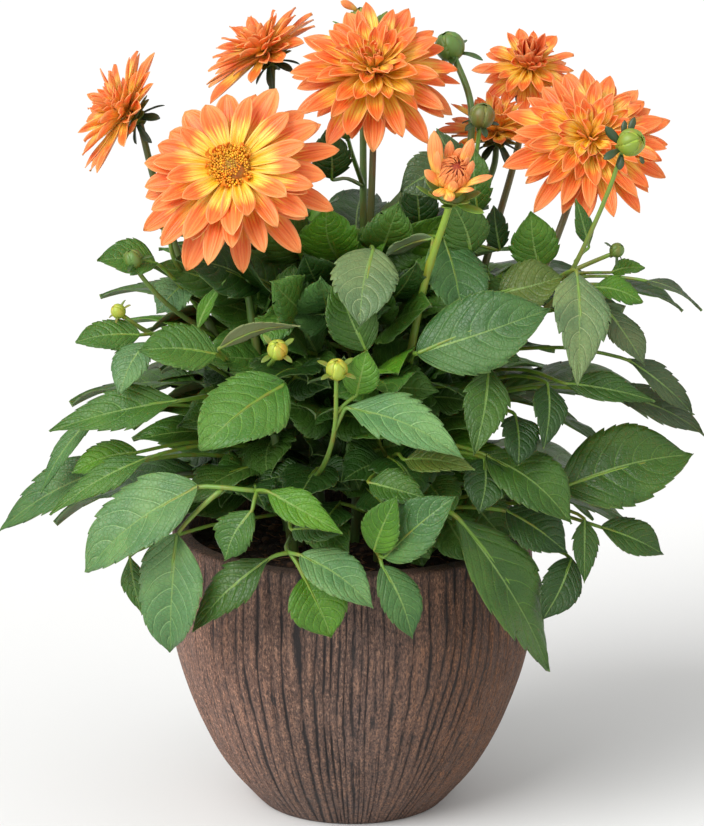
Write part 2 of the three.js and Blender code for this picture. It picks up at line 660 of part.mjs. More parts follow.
// Leaves that show on the full side: base, tip, width, and the height on the stem they come from.
const FRONT = [
  ['stem_left', [-132, -60, 400], [-171, -72, 404], 29, 350],
  ['stem_left', [-143, -80, 355], [-188, -86, 360], 25, 322],
  ['stem_left', [-137, -88, 352], [-156, -112, 323], 27, 316],
  ['stem_left', [-91, -98, 346], [-142, -106, 350], 36, 306],
  ['stem_left', [-89, -98, 350], [-34, -124, 371], 24, 300, { normal: [0, 0.55, 0.83] }],
  ['stem_left', [-115, -98, 314], [-203, -96, 292], 36, 292],
  ['stem_left', [-172, -76, 300], [-211, -88, 246], 16, 286],
  ['stem_left', [-145, -90, 276], [-189, -92, 262], 25, 262],
  ['stem_left', [-150, -80, 266], [-243, -62, 212], 35, 250],
  ['stem_left', [-134, -100, 276], [-196, -96, 226], 24, 240],
  ['stem_front_left', [-45, -124, 331], [-100, -158, 296], 56, 300],
  ['stem_front_left', [-102, -134, 264], [-178, -128, 203], 52, 236, { via: [-64, -140, 263] }],
  ['stem_front_left', [-116, -136, 232], [-122, -130, 148], 49, [-86, -137, 263.5]],
  ['stem_front_left', [-66, -148, 252], [-84, -154, 219], 29, [-63, -139, 262.6]],
  ['stem_front_left', [-56, -148, 265], [-6, -170, 242], 25, [-64, -139, 262.8]],
  ['stem_front_left', [-150, -106, 208], [-142, -120, 172], 18, 222],
  ['stem_front_left', [-34, -152, 222], [14, -170, 191], 33, 206, { via: [-42, -142, 221] }],
  ['stem_front_left', [-54, -144, 218], [-106, -143, 166], 32, [-42, -141, 220.6]],
  ['stem_front_left', [-32, -151, 207], [-14, -160, 168], 41, [-41, -142, 220.8]],
  ['stem_front_left', [-40, -140, 236], [-8, -162, 240], 25, 226],
  ['stem_front_right', [22, -152, 221], [68, -164, 266], 36, 208, { via: [18, -144, 220] }],
  ['stem_front_right', [20, -150, 214], [40, -157, 166], 28, [18, -143, 219.6]],
  ['stem_front_right', [15, -149, 225], [17, -166, 267], 27, [18, -143.5, 219.8]],
  ['stem_front_right', [11, -138, 268], [48, -154, 262], 27, 250],
  ['stem_front_right', [35, -124, 280], [81, -150, 280], 27, 262],
  ['stem_front_left', [-4, -134, 318], [73, -160, 290], 42, [-12, -129, 301]],
  ['stem_front_left', [3, -130, 326], [10, -136, 358], 25, [-11.5, -134, 313]],
  ['stem_centre', [14, -74, 412], [5, -124, 371], 44, 392],
  ['stem_centre', [9, -98, 349], [-11, -92, 398], 34, 330],
  ['stem_centre', [62, -44, 414], [74, -80, 361], 42, 398],
  ['stem_front_right', [44, -108, 349], [132, -106, 379], 55, 332],
  ['stem_right', [91, -104, 338], [80, -144, 288], 33, 300],
  ['stem_right', [151, -64, 396], [150, -112, 328], 42, 362],
  ['stem_right', [172, -60, 368], [197, -82, 334], 27, 352],
  ['stem_right', [198, -44, 385], [239, -40, 363], 20, 376],
  ['stem_right', [163, -48, 381], [197, -56, 372], 22, 370],
  ['stem_right', [100, -70, 382], [144, -72, 396], 36, 346],
  ['stem_right', [186, -72, 336], [232, -62, 295], 26, 330],
  ['stem_right', [143, -90, 324], [204, -88, 311], 23, 316],
  ['stem_right', [166, -80, 316], [242, -46, 276], 27, 296],
  ['stem_right', [131, -94, 325], [127, -130, 289], 25, 308],
  ['stem_right', [109, -104, 306], [110, -136, 279], 29, 284],
  ['stem_right', [142, -92, 252], [232, -72, 270], 58, 250],
  ['stem_front_right', [90, -114, 280], [146, -136, 239], 45, 274],
  ['stem_front_right', [70, -138, 244], [134, -106, 126], 53, 236],
  ['stem_right', [157, -98, 232], [156, -120, 193], 21, 232],
  ['stem_right', [169, -92, 224], [212, -86, 203], 27, 222],
  ['stem_right', [148, -106, 206], [128, -126, 169], 27, 208],
  ['stem_front_right', [88, -118, 279], [84, -146, 249], 31, 264],
  ['stem_front_right', [104, -108, 240], [132, -120, 203], 37, 228],
  ['stem_right', [128, -32, 391], [121, -40, 432], 34, 374, { normal: [0.1, -1, 0.15] }],
  ['stem_top_bud', [-14, 14, 444], [-18, 6, 480], 30, 430, { normal: [0, -1, 0.1] }],
  ['stem_centre', [46, -22, 416], [42, -28, 455], 27, 402, { normal: [0.1, -1, 0.1] }],
  ['stem_left', [-109, -36, 385], [-133, -46, 362], 32, 372],
  ['stem_left', [-105, -60, 353], [-85, -66, 390], 11, 340, { normal: [-0.5, -0.8, 0.2] }],
  ['stem_right', [161, -40, 407], [151, -46, 442], 13, [151, -50, 399], { normal: [0.2, -1, 0.1] }],
  ['stem_right', [171, -30, 379], [227, -28, 360], 34, 368],
  ['stem_right', [177, -28, 387], [200, -32, 391], 16, 376, { normal: [0, -0.6, 0.8] }],
  ['stem_bud', [81, -46, 404], [67, -54, 441], 32, 390, { normal: [0, -1, 0.2] }],
  ['stem_bud', [102, -10, 399], [97, -14, 431], 18, 396, { normal: [0, -1, 0.1] }],
  ['stem_front_right', [54, -64, 418], [22, -60, 404], 20, 404, { normal: [0, 0.55, 0.83] }],
];

// Compound leaves all round, by level: angle from +X, stalk end and tip as [radius, height].
const LEVELS = [
  { first: -10, step: 33, count: 7, hub: [104, 240], tip: [204, 206], width: 56, seed: 1, lobes: 0.82, face: 0.84 },
  { first: 6, step: 33, count: 6, hub: [106, 300], tip: [210, 282], width: 57, seed: 2, lobes: 0.84, face: 0.84 },
  { first: -6, step: 40, count: 5, hub: [84, 354], tip: [180, 354], width: 54, seed: 3, lobes: 0.84, face: 0.82 },
  { first: 20, step: 70, count: 3, hub: [42, 392], tip: [110, 420], width: 46, seed: 4, lobes: 0.8, face: 0.76 },
  { first: 216, step: 36, count: 4, hub: [84, 262], tip: [142, 250], width: 44, seed: 5, lobes: 0.7, face: 0.7 },
  { first: 205, step: 36, count: 4, hub: [78, 320], tip: [132, 322], width: 42, seed: 6, lobes: 0.7, face: 0.6 },
  { first: 190, step: 34, count: 5, hub: [52, 366], tip: [96, 402], width: 42, seed: 7, lobes: 0.8, face: 0.45 },
  { first: 224, step: 46, count: 3, hub: [44, 300], tip: [86, 342], width: 44, seed: 8, lobes: 0.85, face: 0.4 },
];

// Ways to shift a leaf that would touch a neighbour: sideways, up (shares of its length), stalk (mm).
const SHIFTS = [
  [0, 0, 0], [0, 0.1, 8], [0, -0.1, -8], [0.12, 0, 12], [-0.12, 0, -12], [0.14, 0.14, 0], [-0.14, 0.14, 0],
  [0.14, -0.14, -16], [-0.14, -0.14, 16], [0, 0.22, 20], [0, -0.22, -20], [0.28, 0, 24], [-0.28, 0, -24],
  [0.28, 0.2, 10], [-0.28, 0.2, -10], [0.05, 0.34, 30], [-0.05, -0.34, -30],
];

// ---- building the plant ----
const placed = []; // everything already in its place: { owner, kind, solid, box }

function keep(owner, kind, solid) {
  placed.push({ owner, kind, solid, box: solid.boundingBox() });
}

function touches(solid, test) {
  const box = solid.boundingBox();
  const apart = (b) => [0, 1, 2].some((i) => b.min[i] > box.max[i] || b.max[i] < box.min[i]);
  return placed.some((p) => test(p) && !apart(p.box) && !solid.intersect(p.solid).isEmpty());
}

function stemPoints(stem, end) {
  const [x, y] = stem.foot;
  const low = [V(x, y, STEM.buried), V(x, y, SOIL.top + 6)];
  const bendy = [V(x, y, SOIL.top + 6), ...stem.path.map(vec), ...(end ? [end] : [])];
  return [...low, ...smooth(bendy, bendy.length + 1).slice(1)];
}

function pointAtHeight(points, z) {
  for (let i = 0; i + 1 < points.length; i += 1) {
    const a = points[i];
    const b = points[i + 1];
    if (z >= a.z && z <= b.z && b.z > a.z) {
      return a.clone().lerp(b, (z - a.z) / (b.z - a.z));
    }
  }
  return points[z < points[0].z ? 0 : points.length - 1].clone();
}

const plants = {};
for (const [name, stem] of Object.entries(STEMS)) {
  const [bloomName, bloom] = Object.entries(BLOOMS).find(([, b]) => b.stem === name) ?? [];
  const solids = [];
  let end = null;
  if (bloom) {
    const axis = vec(bloom.axis).normalize();
    const radius = bloom.core.radius * 0.92;
    const top = vec(bloom.at).addScaledVector(axis, -0.3);
    end = top.clone().addScaledVector(axis, -radius * 0.6);
    const bract = bloom.green ? ring(20, 8, 12, 24) : ring(16, 7, -30, -20);
    solids.push(cupSolid(top.toArray(), bloom.axis, radius, bract));
  }
  if (stem.bud) {
    end = vec(stem.bud.at);
    solids.push(budSolid(stem.bud));
  }
  const points = stemPoints(stem, end);
  const radii = points.map((p) => mix(STEM.soilRadius, STEM.topRadius,
    Math.max(0, (p.z - SOIL.top) / (points[points.length - 1].z - SOIL.top))));
  solids.push(tube(points, radii, STEM.sides));
  for (const branch of stem.branches) {
    const root = pointAtHeight(points, branch.from);
    const route = smooth([root, ...branch.path.map(vec), vec(branch.bud.at)], branch.path.length + 2);
    solids.push(tube(route, route.map((p, i) => mix(2, 1.5, i / (route.length - 1))), 4));
    solids.push(budSolid(branch.bud));
  }
  plants[name] = { points, solids };
  solids.forEach((s) => keep(name, 'stem', s));
}

const blooms = {};
const discs = {};
Object.entries(BLOOMS).forEach(([name, bloom], i) => {
  blooms[name] = bloomSolid(bloom, i + 1);
  keep(name, 'bloom', blooms[name]);
  if (bloom.core.top) {
    const disc = name.replace('bloom', 'disc');
    discs[disc] = discSolid(bloom);
    keep(disc, 'bloom', discs[disc]);
  }
});

const pot = makePot();
const soil = makeSoil(Object.values(STEMS));
keep('pot', 'pot', pot);
keep('soil', 'soil', soil);

function shifted(leaf, [sideways, lift]) {
  const base = vec(leaf.base);
  const along = vec(leaf.tip).sub(base);
  const length = along.length();
  const normal = vec(leaf.normal).normalize();
  const side = along.clone().cross(normal).normalize();
  const tip = vec(leaf.tip).addScaledVector(side, sideways * length).addScaledVector(normal, lift * length);
  return { ...leaf, tip: tip.toArray() };
}

// Puts a leaf on its stem in the first shift that touches nothing, and says whether one was found.
function placeLeaf(leaf, optional) {
  const plant = plants[leaf.stem];
  for (const own of [true, false]) {
    for (const shift of SHIFTS) {
      const tried = shifted(leaf, shift);
      const root = Array.isArray(leaf.from) ? vec(leaf.from) : pointAtHeight(plant.points, leaf.from + shift[2]);
      const petiole = stalkPath(tried, root);
      const bare = tried.lobes ? petiole.slice(-2) : [];
      const hit = touches(leafSolid(tried, petiole, CLEAR), (p) => p.owner !== leaf.stem)
        || (own && touches(leafSolid(tried, bare, CLEAR), (p) => p.owner === leaf.stem));
      if (!hit) {
        const solid = leafSolid(tried, petiole);
        plant.solids.push(solid);
        keep(leaf.stem, 'leaf', solid);
        return true;
      }
    }
    if (optional) {
      return false;
    }
  }
  return false;
}

function normalFor(tip) {
  const out = V(tip[0], tip[1], 0).normalize();
  return tip[1] < -40
    ? [out.x * 0.45, -0.72, 0.66]
    : [out.x * 0.55, out.y * 0.55, 0.82];
}

function kindOf(length) {
  if (length > LEAF.heroLength) {
    return 'hero';
  }
  if (length > LEAF.bigLength) {
    return 'big';
  }
  return length > LEAF.tinyLength ? 'small' : 'tiny';
}

for (const [stem, base, tip, width, from, extra] of FRONT) {
  const kind = kindOf(vec(base).distanceTo(vec(tip)));
  placeLeaf({ stem, base, tip, width, from, bend: 0.09, kind, normal: normalFor(tip), ...extra }, false);
}

function nearestStem(x, y, z) {
  let best = null;
  let least = Infinity;
  for (const [name, plant] of Object.entries(plants)) {
    const top = plant.points[plant.points.length - 1].z;
    const p = pointAtHeight(plant.points, Math.min(z, top - 30));
    const d = Math.hypot(p.x - x, p.y - y) + (top < z + 10 ? 60 : 0);
    if (d < least) {
      least = d;
      best = name;
    }
  }
  return best;
}

for (const level of LEVELS) {
  for (let i = 0; i < level.count; i += 1) {
    const a = rad(level.first + level.step * i + 10 * (draw(level.seed, i) - 0.5));
    const grow = 0.9 + 0.25 * draw(level.seed, i + 20);
    const drop = 16 * (draw(level.seed, i + 40) - 0.5);
    const polar = (r, z) => [r * Math.cos(a), r * Math.sin(a), z + drop];
    const base = polar(level.hub[0], level.hub[1]);
    const tip = polar(mix(level.hub[0], level.tip[0], grow), level.tip[1]);
    const stem = nearestStem(base[0] * 0.6, base[1] * 0.6, base[2]);
    const leaf = {
      stem, base, tip, width: level.width * grow, from: Math.max(base[2] - 24, 200), bend: 0.1,
      normal: [(1.3 - level.face) * Math.cos(a), (1.3 - level.face) * Math.sin(a), level.face], kind: 'small',
    };
    if (!(level.lobes && placeLeaf({ ...leaf, lobes: level.lobes }, true))) {
      placeLeaf(leaf, true);
    }
  }
}

// ---- assembly ----
const group = new THREE.Group();

function addNode(name, solid, [colour, roughness]) {
  const { vertProperties, triVerts } = solid.getMesh();
  let geometry = new THREE.BufferGeometry();
  geometry.setAttribute('position', new THREE.BufferAttribute(new Float32Array(vertProperties), 3));
  geometry.setIndex(Array.from(triVerts));
  geometry = mergeVertices(geometry, 1e-4);
  const mesh = new THREE.Mesh(geometry, new THREE.MeshStandardMaterial({ color: colour, roughness, metalness: 0 }));
  mesh.name = name;
  group.add(mesh);
}

addNode('pot', pot, COLOURS.pot);
addNode('soil', soil, COLOURS.soil);
for (const [name, plant] of Object.entries(plants)) {
  addNode(name, wasm.Manifold.union(plant.solids), COLOURS.stem);
}
for (const [name, solid] of Object.entries(blooms)) {
  addNode(name, solid, COLOURS.petal);
}
for (const [name, solid] of Object.entries(discs)) {
  addNode(name, solid, COLOURS.disc);
}

export default group;
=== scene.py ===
import math
import bpy
import numpy as np
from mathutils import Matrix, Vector, noise
from mathutils.kdtree import KDTree


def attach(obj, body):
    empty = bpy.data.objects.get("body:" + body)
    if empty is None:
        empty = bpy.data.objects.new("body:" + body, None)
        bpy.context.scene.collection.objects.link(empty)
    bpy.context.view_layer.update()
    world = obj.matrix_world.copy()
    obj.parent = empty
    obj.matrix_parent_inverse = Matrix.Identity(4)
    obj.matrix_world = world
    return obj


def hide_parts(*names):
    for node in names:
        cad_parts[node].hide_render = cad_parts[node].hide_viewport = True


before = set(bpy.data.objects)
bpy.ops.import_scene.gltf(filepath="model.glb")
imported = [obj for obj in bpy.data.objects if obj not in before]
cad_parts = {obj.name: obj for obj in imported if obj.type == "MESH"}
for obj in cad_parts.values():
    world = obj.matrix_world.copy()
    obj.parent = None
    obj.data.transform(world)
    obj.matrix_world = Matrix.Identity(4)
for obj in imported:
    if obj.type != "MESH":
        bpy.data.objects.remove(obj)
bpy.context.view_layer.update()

# A bushy orange dahlia in a wood-grained planter. All lengths are mm until a mesh is made.
mm = 0.001
bpy.ops.object.select_all(action="DESELECT")
print("frame loaded:", len(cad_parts), "nodes")


def draw(i, j):  # a repeatable draw between 0 and 1, the same one that placed the solids
    s = math.sin(i * 12.9898 + j * 78.233 + 4.7) * 43758.5453
    return s - math.floor(s)


def vec(*p):
    return np.array(p if len(p) > 1 else p[0], dtype=float)


def unit(v):
    return v / max(np.linalg.norm(v), 1e-9)


def mix(a, b, t):
    return a + (b - a) * t


def smoothCurve(points, count):  # centripetal curve through the points
    pts = [vec(p) for p in points]
    last = len(pts) - 1
    out = []
    for step in range(count + 1):
        t = last * step / count
        k = min(int(t), last - 1)
        w = t - k
        p1, p2 = pts[k], pts[k + 1]
        p0 = pts[k - 1] if k > 0 else 2 * pts[0] - pts[1]
        p3 = pts[k + 2] if k + 2 <= last else 2 * pts[last] - pts[last - 1]
        d0, d1, d2 = (np.sum((b - a) ** 2) ** 0.25 for a, b in ((p0, p1), (p1, p2), (p2, p3)))
        d1 = d1 if d1 > 1e-4 else 1
        d0, d2 = (d if d > 1e-4 else d1 for d in (d0, d2))
        t1 = ((p1 - p0) / d0 - (p2 - p0) / (d0 + d1) + (p2 - p1) / d1) * d1
        t2 = ((p2 - p1) / d1 - (p3 - p1) / (d1 + d2) + (p3 - p2) / d2) * d1
        out.append(p1 + t1 * w + (-3 * p1 + 3 * p2 - 2 * t1 - t2) * w * w + (2 * p1 - 2 * p2 + t1 + t2) * w ** 3)
    return out


goldenTurn = 2.39996  # angle between neighbours in a spiral, in radians


def pointAtHeight(points, z):
    for a, b in zip(points, points[1:]):
        if a[2] <= z <= b[2] and b[2] > a[2]:
            return mix(a, b, (z - a[2]) / (b[2] - a[2]))
    return points[0 if z < points[0][2] else -1].copy()


# materials
def newLook(name, rough, **fixed):
    look = bpy.data.materials.new(name)
    look.use_nodes = True
    tree = look.node_tree
    shader = tree.nodes["Principled BSDF"]
    shader.inputs["Roughness"].default_value = rough
    for socket, value in fixed.items():
        shader.inputs[socket.replace("_", " ")].default_value = value
    return look, tree, shader


def put(tree, kind, sockets=None, **settings):
    node = tree.nodes.new(kind)
    for key, value in settings.items():
        setattr(node, key, value)
    for key, value in (sockets or {}).items():
        if isinstance(value, bpy.types.NodeSocket):
            tree.links.new(value, node.inputs[key])
        else:
            node.inputs[key].default_value = value
    return node


def calc(tree, what, a, b=0.0, c=0.0):
    return put(tree, "ShaderNodeMath", {0: a, 1: b, 2: c}, operation=what).outputs[0]


def times(tree, a, b):
    return calc(tree, "MULTIPLY", a, b)


def pushed(tree, grain, reach):  # a grain about a half, made a push either way
    return times(tree, calc(tree, "SUBTRACT", grain, 0.5), reach)


def soften(tree, value, start, end, low=0.0, high=1.0):  # a smooth step from low to high
    sockets = {"Value": value, "From Min": start, "From Max": end, "To Min": low, "To Max": high}
    return put(tree, "ShaderNodeMapRange", sockets, interpolation_type="SMOOTHSTEP").outputs["Result"]


def tinted(tree, share, one, two, way="MIX"):
    def colour(c):
        return c if isinstance(c, bpy.types.NodeSocket) else (*c, 1)
    node = put(tree, "ShaderNodeMix", {0: share, 6: colour(one), 7: colour(two)}, data_type="RGBA", blend_type=way)
    return node.outputs[2]


def toned(tree, colour, by):  # a colour times another
    return tinted(tree, 1.0, colour, by, "MULTIPLY")


def grainOf(tree, scale, detail=3.0, rough=0.55, stretch=None):
    place = put(tree, "ShaderNodeTexCoord").outputs["Object"]
    if stretch:
        place = put(tree, "ShaderNodeMapping", {"Vector": place, "Scale": stretch}).outputs[0]
    sockets = {"Vector": place, "Scale": scale, "Detail": detail, "Roughness": rough}
    return put(tree, "ShaderNodeTexNoise", sockets).outputs["Fac"]


def readMark(tree, name, output="Fac"):
    return put(tree, "ShaderNodeAttribute", attribute_name=name).outputs[output]


def sheetPlace(tree):  # place along a leaf or petal, signed share of its half width
    uv = put(tree, "ShaderNodeUVMap", uv_map="sheetMap").outputs[0]
    split = put(tree, "ShaderNodeSeparateXYZ", {0: uv})
    across = calc(tree, "MULTIPLY_ADD", split.outputs[1], 2.0, -1.0)
    return split.outputs[0], across


def finishLook(tree, shader, colour, height=None, strength=0.3, reach=0.0006, rough=None):
    tree.links.new(colour, shader.inputs["Base Color"])
    if height is not None:
        bump = put(tree, "ShaderNodeBump", {"Strength": strength, "Distance": reach, "Height": height})
        tree.links.new(bump.outputs[0], shader.inputs["Normal"])
    if rough is not None:
        tree.links.new(rough, shader.inputs["Roughness"])


def paints(**tones):
    return {name: np.array(tone) for name, tone in tones.items()}


leafPlan = dict(  # lengths in mm; broad: width by length; a lobe sits back along the stalk, beside it, and is narrower
    veins=7, veinLean=0.34, veinArc=1.55, thickness=0.45, fold=0.13, quilt=0.8, wave=2.4, large=44, broad=0.52,
    lobeBack=10, lobeBeside=1.1, lobeWay=(0.5, 0.86), lobeWidth=0.76,
    palette=paints(
        # the first tone is a paler leaf green that carries painted sheen
        silvery=(0.112, 0.238, 0.082), bluish=(0.062, 0.160, 0.040), green=(0.060, 0.160, 0.021),
        fresh=(0.075, 0.205, 0.012), olive=(0.042, 0.112, 0.012), deep=(0.020, 0.066, 0.008),
        pale=(0.150, 0.230, 0.095), straw=(0.280, 0.300, 0.125), bronze=(0.095, 0.155, 0.022),
        ash=(0.100, 0.150, 0.060), greyed=(0.055, 0.095, 0.032),
    ),
)
palette = leafPlan["palette"]


def leafLook(name, under):
    look, tree, shader = newLook(name, 0.5, Subsurface_Weight=0.06, Subsurface_Scale=0.004, Specular_IOR_Level=0.36)
    along, across = sheetPlace(tree)
    wide = calc(tree, "ABSOLUTE", across)
    side = times(tree, calc(tree, "GREATER_THAN", across, 0.0), 0.28)
    lean = times(tree, calc(tree, "POWER", wide, leafPlan["veinArc"]), leafPlan["veinLean"])
    broad = grainOf(tree, 28, 3)
    wander = pushed(tree, grainOf(tree, 60, 2), 0.05)
    place = calc(tree, "ADD", calc(tree, "SUBTRACT", along, lean), wander)
    count = calc(tree, "MULTIPLY_ADD", place, leafPlan["veins"], side)
    apart = calc(tree, "SUBTRACT", 0.5, calc(tree, "ABSOLUTE", calc(tree, "SUBTRACT", calc(tree, "FRACT", count), 0.5)))
    branch = soften(tree, apart, 0.045, 0.010)
    branch = times(tree, branch, soften(tree, wide, 1.0, 0.45, 0.1, 1.0))
    ribReach = calc(tree, "MULTIPLY_ADD", along, -0.055, 0.085)  # cm from the midrib
    rib = calc(tree, "LESS_THAN", readMark(tree, "ribGap"), ribReach)
    net = put(tree, "ShaderNodeTexVoronoi", {
        "Vector": put(tree, "ShaderNodeTexCoord").outputs["Object"], "Scale": 330.0,
    }, feature="DISTANCE_TO_EDGE").outputs["Distance"]
    mesh = soften(tree, net, 0.16, 0.01)
    vein = calc(tree, "MAXIMUM", rib, times(tree, branch, 0.6))
    tint = readMark(tree, "tint", "Color")
    if under:
        base = tinted(tree, 0.5, tint, (0.17, 0.23, 0.12))
        veined = tinted(tree, times(tree, vein, 0.5), base, (0.26, 0.34, 0.13))
        height = times(tree, vein, 0.9)
    else:
        base = tinted(tree, soften(tree, broad, 0.35, 0.7), toned(tree, tint, (0.72, 0.80, 0.76)),
                      toned(tree, tint, (1.28, 1.18, 1.05)))
        base = tinted(tree, times(tree, mesh, 0.13), base, (0.016, 0.05, 0.010))
        # painted shade: a dark band beside each side vein, where the quilted blade dips
        veinGrooveShade = times(tree, soften(tree, apart, 0.15, 0.05, 0.0, 0.30), soften(tree, broad, 0.40, 0.62))
        base = tinted(tree, veinGrooveShade, base, (0.018, 0.055, 0.012))
        edge = soften(tree, wide, 0.94, 1.0, 0.0, 0.25)
        base = tinted(tree, edge, base, (0.20, 0.30, 0.07))
        veined = tinted(tree, times(tree, branch, 0.75), base, toned(tree, tint, (2.2, 1.75, 1.9)))
        foot = soften(tree, along, 0.75, 0.0, 0.40, 0.85)
        veined = tinted(tree, times(tree, rib, foot), veined, (0.24, 0.38, 0.10))
        quilt = calc(tree, "MULTIPLY_ADD", soften(tree, apart, 0.0, 0.25), 0.45, times(tree, broad, 0.9))
        height = calc(tree, "SUBTRACT", quilt, times(tree, mesh, 0.20))
        height = calc(tree, "SUBTRACT", height, times(tree, rib, 0.5))
    rough = soften(tree, broad, 0.3, 0.7, 0.34 if not under else 0.6, 0.48 if not under else 0.72)
    finishLook(tree, shader, veined, height, 0.7, 0.0013, rough)
    return look


petalPlan = dict(  # cup: how hollow at foot, middle and tip; fold: least and more of it; narrow: by outline
    thickness=0.5, cup=(0.95, 0.34, 0.34), roll=0.7, sway=0.18, ripple=1.1, room=1.0, pleat=0.36,
    narrow=dict(blunt=0.78, pointed=0.66), fold=dict(blunt=(0.6, 0.5), pointed=(0.7, 0.9)),
)


def petalLook(name, under):
    look, tree, shader = newLook(name, 0.45, Subsurface_Weight=0.18, Subsurface_Scale=0.004)
    along, across = sheetPlace(tree)
    split = put(tree, "ShaderNodeSeparateColor", {0: readMark(tree, "tint", "Color")})
    glow, number, dark = split.outputs[0], split.outputs[1], split.outputs[2]  # yellow reach, petal, redness
    lane = put(tree, "ShaderNodeCombineXYZ", {
        0: times(tree, across, 3.4), 1: times(tree, along, 0.8), 2: times(tree, number, 37.0),
    }).outputs[0]
    streak = put(tree, "ShaderNodeTexNoise", {"Vector": lane, "Scale": 2.3, "Detail": 3.0}).outputs["Fac"]
    blur = soften(tree, along, 0.9, 0.45, 0.30, 0.80)
    reach = calc(tree, "MULTIPLY_ADD", calc(tree, "SUBTRACT", streak, 0.5), blur, along)
    reach = calc(tree, "SUBTRACT", reach, pushed(tree, glow, 0.5))
    ramp = put(tree, "ShaderNodeValToRGB", {0: reach})
    stops = [
        (0.05, (0.95, 0.55, 0.012)), (0.24, (0.98, 0.66, 0.10)), (0.34, (0.96, 0.42, 0.045)),
        (0.46, (0.92, 0.150, 0.020)), (0.68, (0.93, 0.230, 0.045)), (0.97, (0.95, 0.390, 0.125)),
    ]
    bar = ramp.color_ramp
    bar.elements[0].position, bar.elements[0].color = stops[0][0], (*stops[0][1], 1)
    bar.elements[1].position, bar.elements[1].color = stops[-1][0], (*stops[-1][1], 1)
    for at, colour in stops[1:-1]:
        bar.elements.new(at).color = (*colour, 1)
    colour = ramp.outputs[0]
    wide = calc(tree, "ABSOLUTE", across)
    brim = times(tree, soften(tree, wide, 0.55, 1.0, 0.0, 0.42), soften(tree, streak, 0.35, 0.6, 0.3, 1.0))
    colour = tinted(tree, brim, colour, (0.96, 0.50, 0.20))
    lines = calc(tree, "SINE", calc(tree, "MULTIPLY_ADD", streak, 3.0, times(tree, across, 21.0)))
    fine = times(tree, soften(tree, lines, 0.45, 1.0), soften(tree, along, 0.1, 0.45, 0.08, 0.26))
    colour = tinted(tree, fine, colour, (0.80, 0.085, 0.014))
    pale = times(tree, soften(tree, lines, -0.6, -1.0), soften(tree, along, 0.9, 0.3, 0.0, 0.40))
    colour = tinted(tree, pale, colour, (0.98, 0.60, 0.13))
    # painted shade: a darker orange line along each pleat crease
    pleat = soften(tree, calc(tree, "ABSOLUTE", calc(tree, "SUBTRACT", wide, petalPlan["pleat"])), 0.10, 0.02)
    fade = times(tree, soften(tree, along, 0.15, 0.5, 0.1, 0.5), soften(tree, along, 1.0, 0.86))
    colour = tinted(tree, times(tree, pleat, fade), colour, (0.80, 0.120, 0.018))
    colour = tinted(tree, times(tree, dark, 0.85), colour, (0.62, 0.040, 0.010))
    if under:
        colour = tinted(tree, 0.38, colour, (0.97, 0.40, 0.13))
    grooves = calc(tree, "MULTIPLY_ADD", lines, 0.35, times(tree, streak, 1.2))
    grooves = calc(tree, "SUBTRACT", grooves, times(tree, pleat, 0.8))
    finishLook(tree, shader, colour, grooves, 0.5, 0.0006)
    return look


def stalkLook():
    look, tree, shader = newLook("stalkSkin", 0.42, Subsurface_Weight=0.05, Subsurface_Scale=0.003)
    tint = readMark(tree, "tint", "Color")
    fleck = grainOf(tree, 150, 4, 0.6, (1, 1, 0.22))
    base = tinted(tree, soften(tree, fleck, 0.42, 0.72), tint, toned(tree, tint, (1.45, 0.72, 0.62)))
    finishLook(tree, shader, base, fleck, 0.25, 0.0005)
    return look


def floretLook():
    look, tree, shader = newLook("floretGrain", 0.55, Subsurface_Weight=0.08, Subsurface_Scale=0.002)
    tint = readMark(tree, "tint", "Color")
    speck = grainOf(tree, 700, 2)
    colour = tinted(tree, soften(tree, speck, 0.4, 0.65, 0.0, 0.5), tint, (0.62, 0.13, 0.01))
    finishLook(tree, shader, colour, speck, 0.2)
    return look


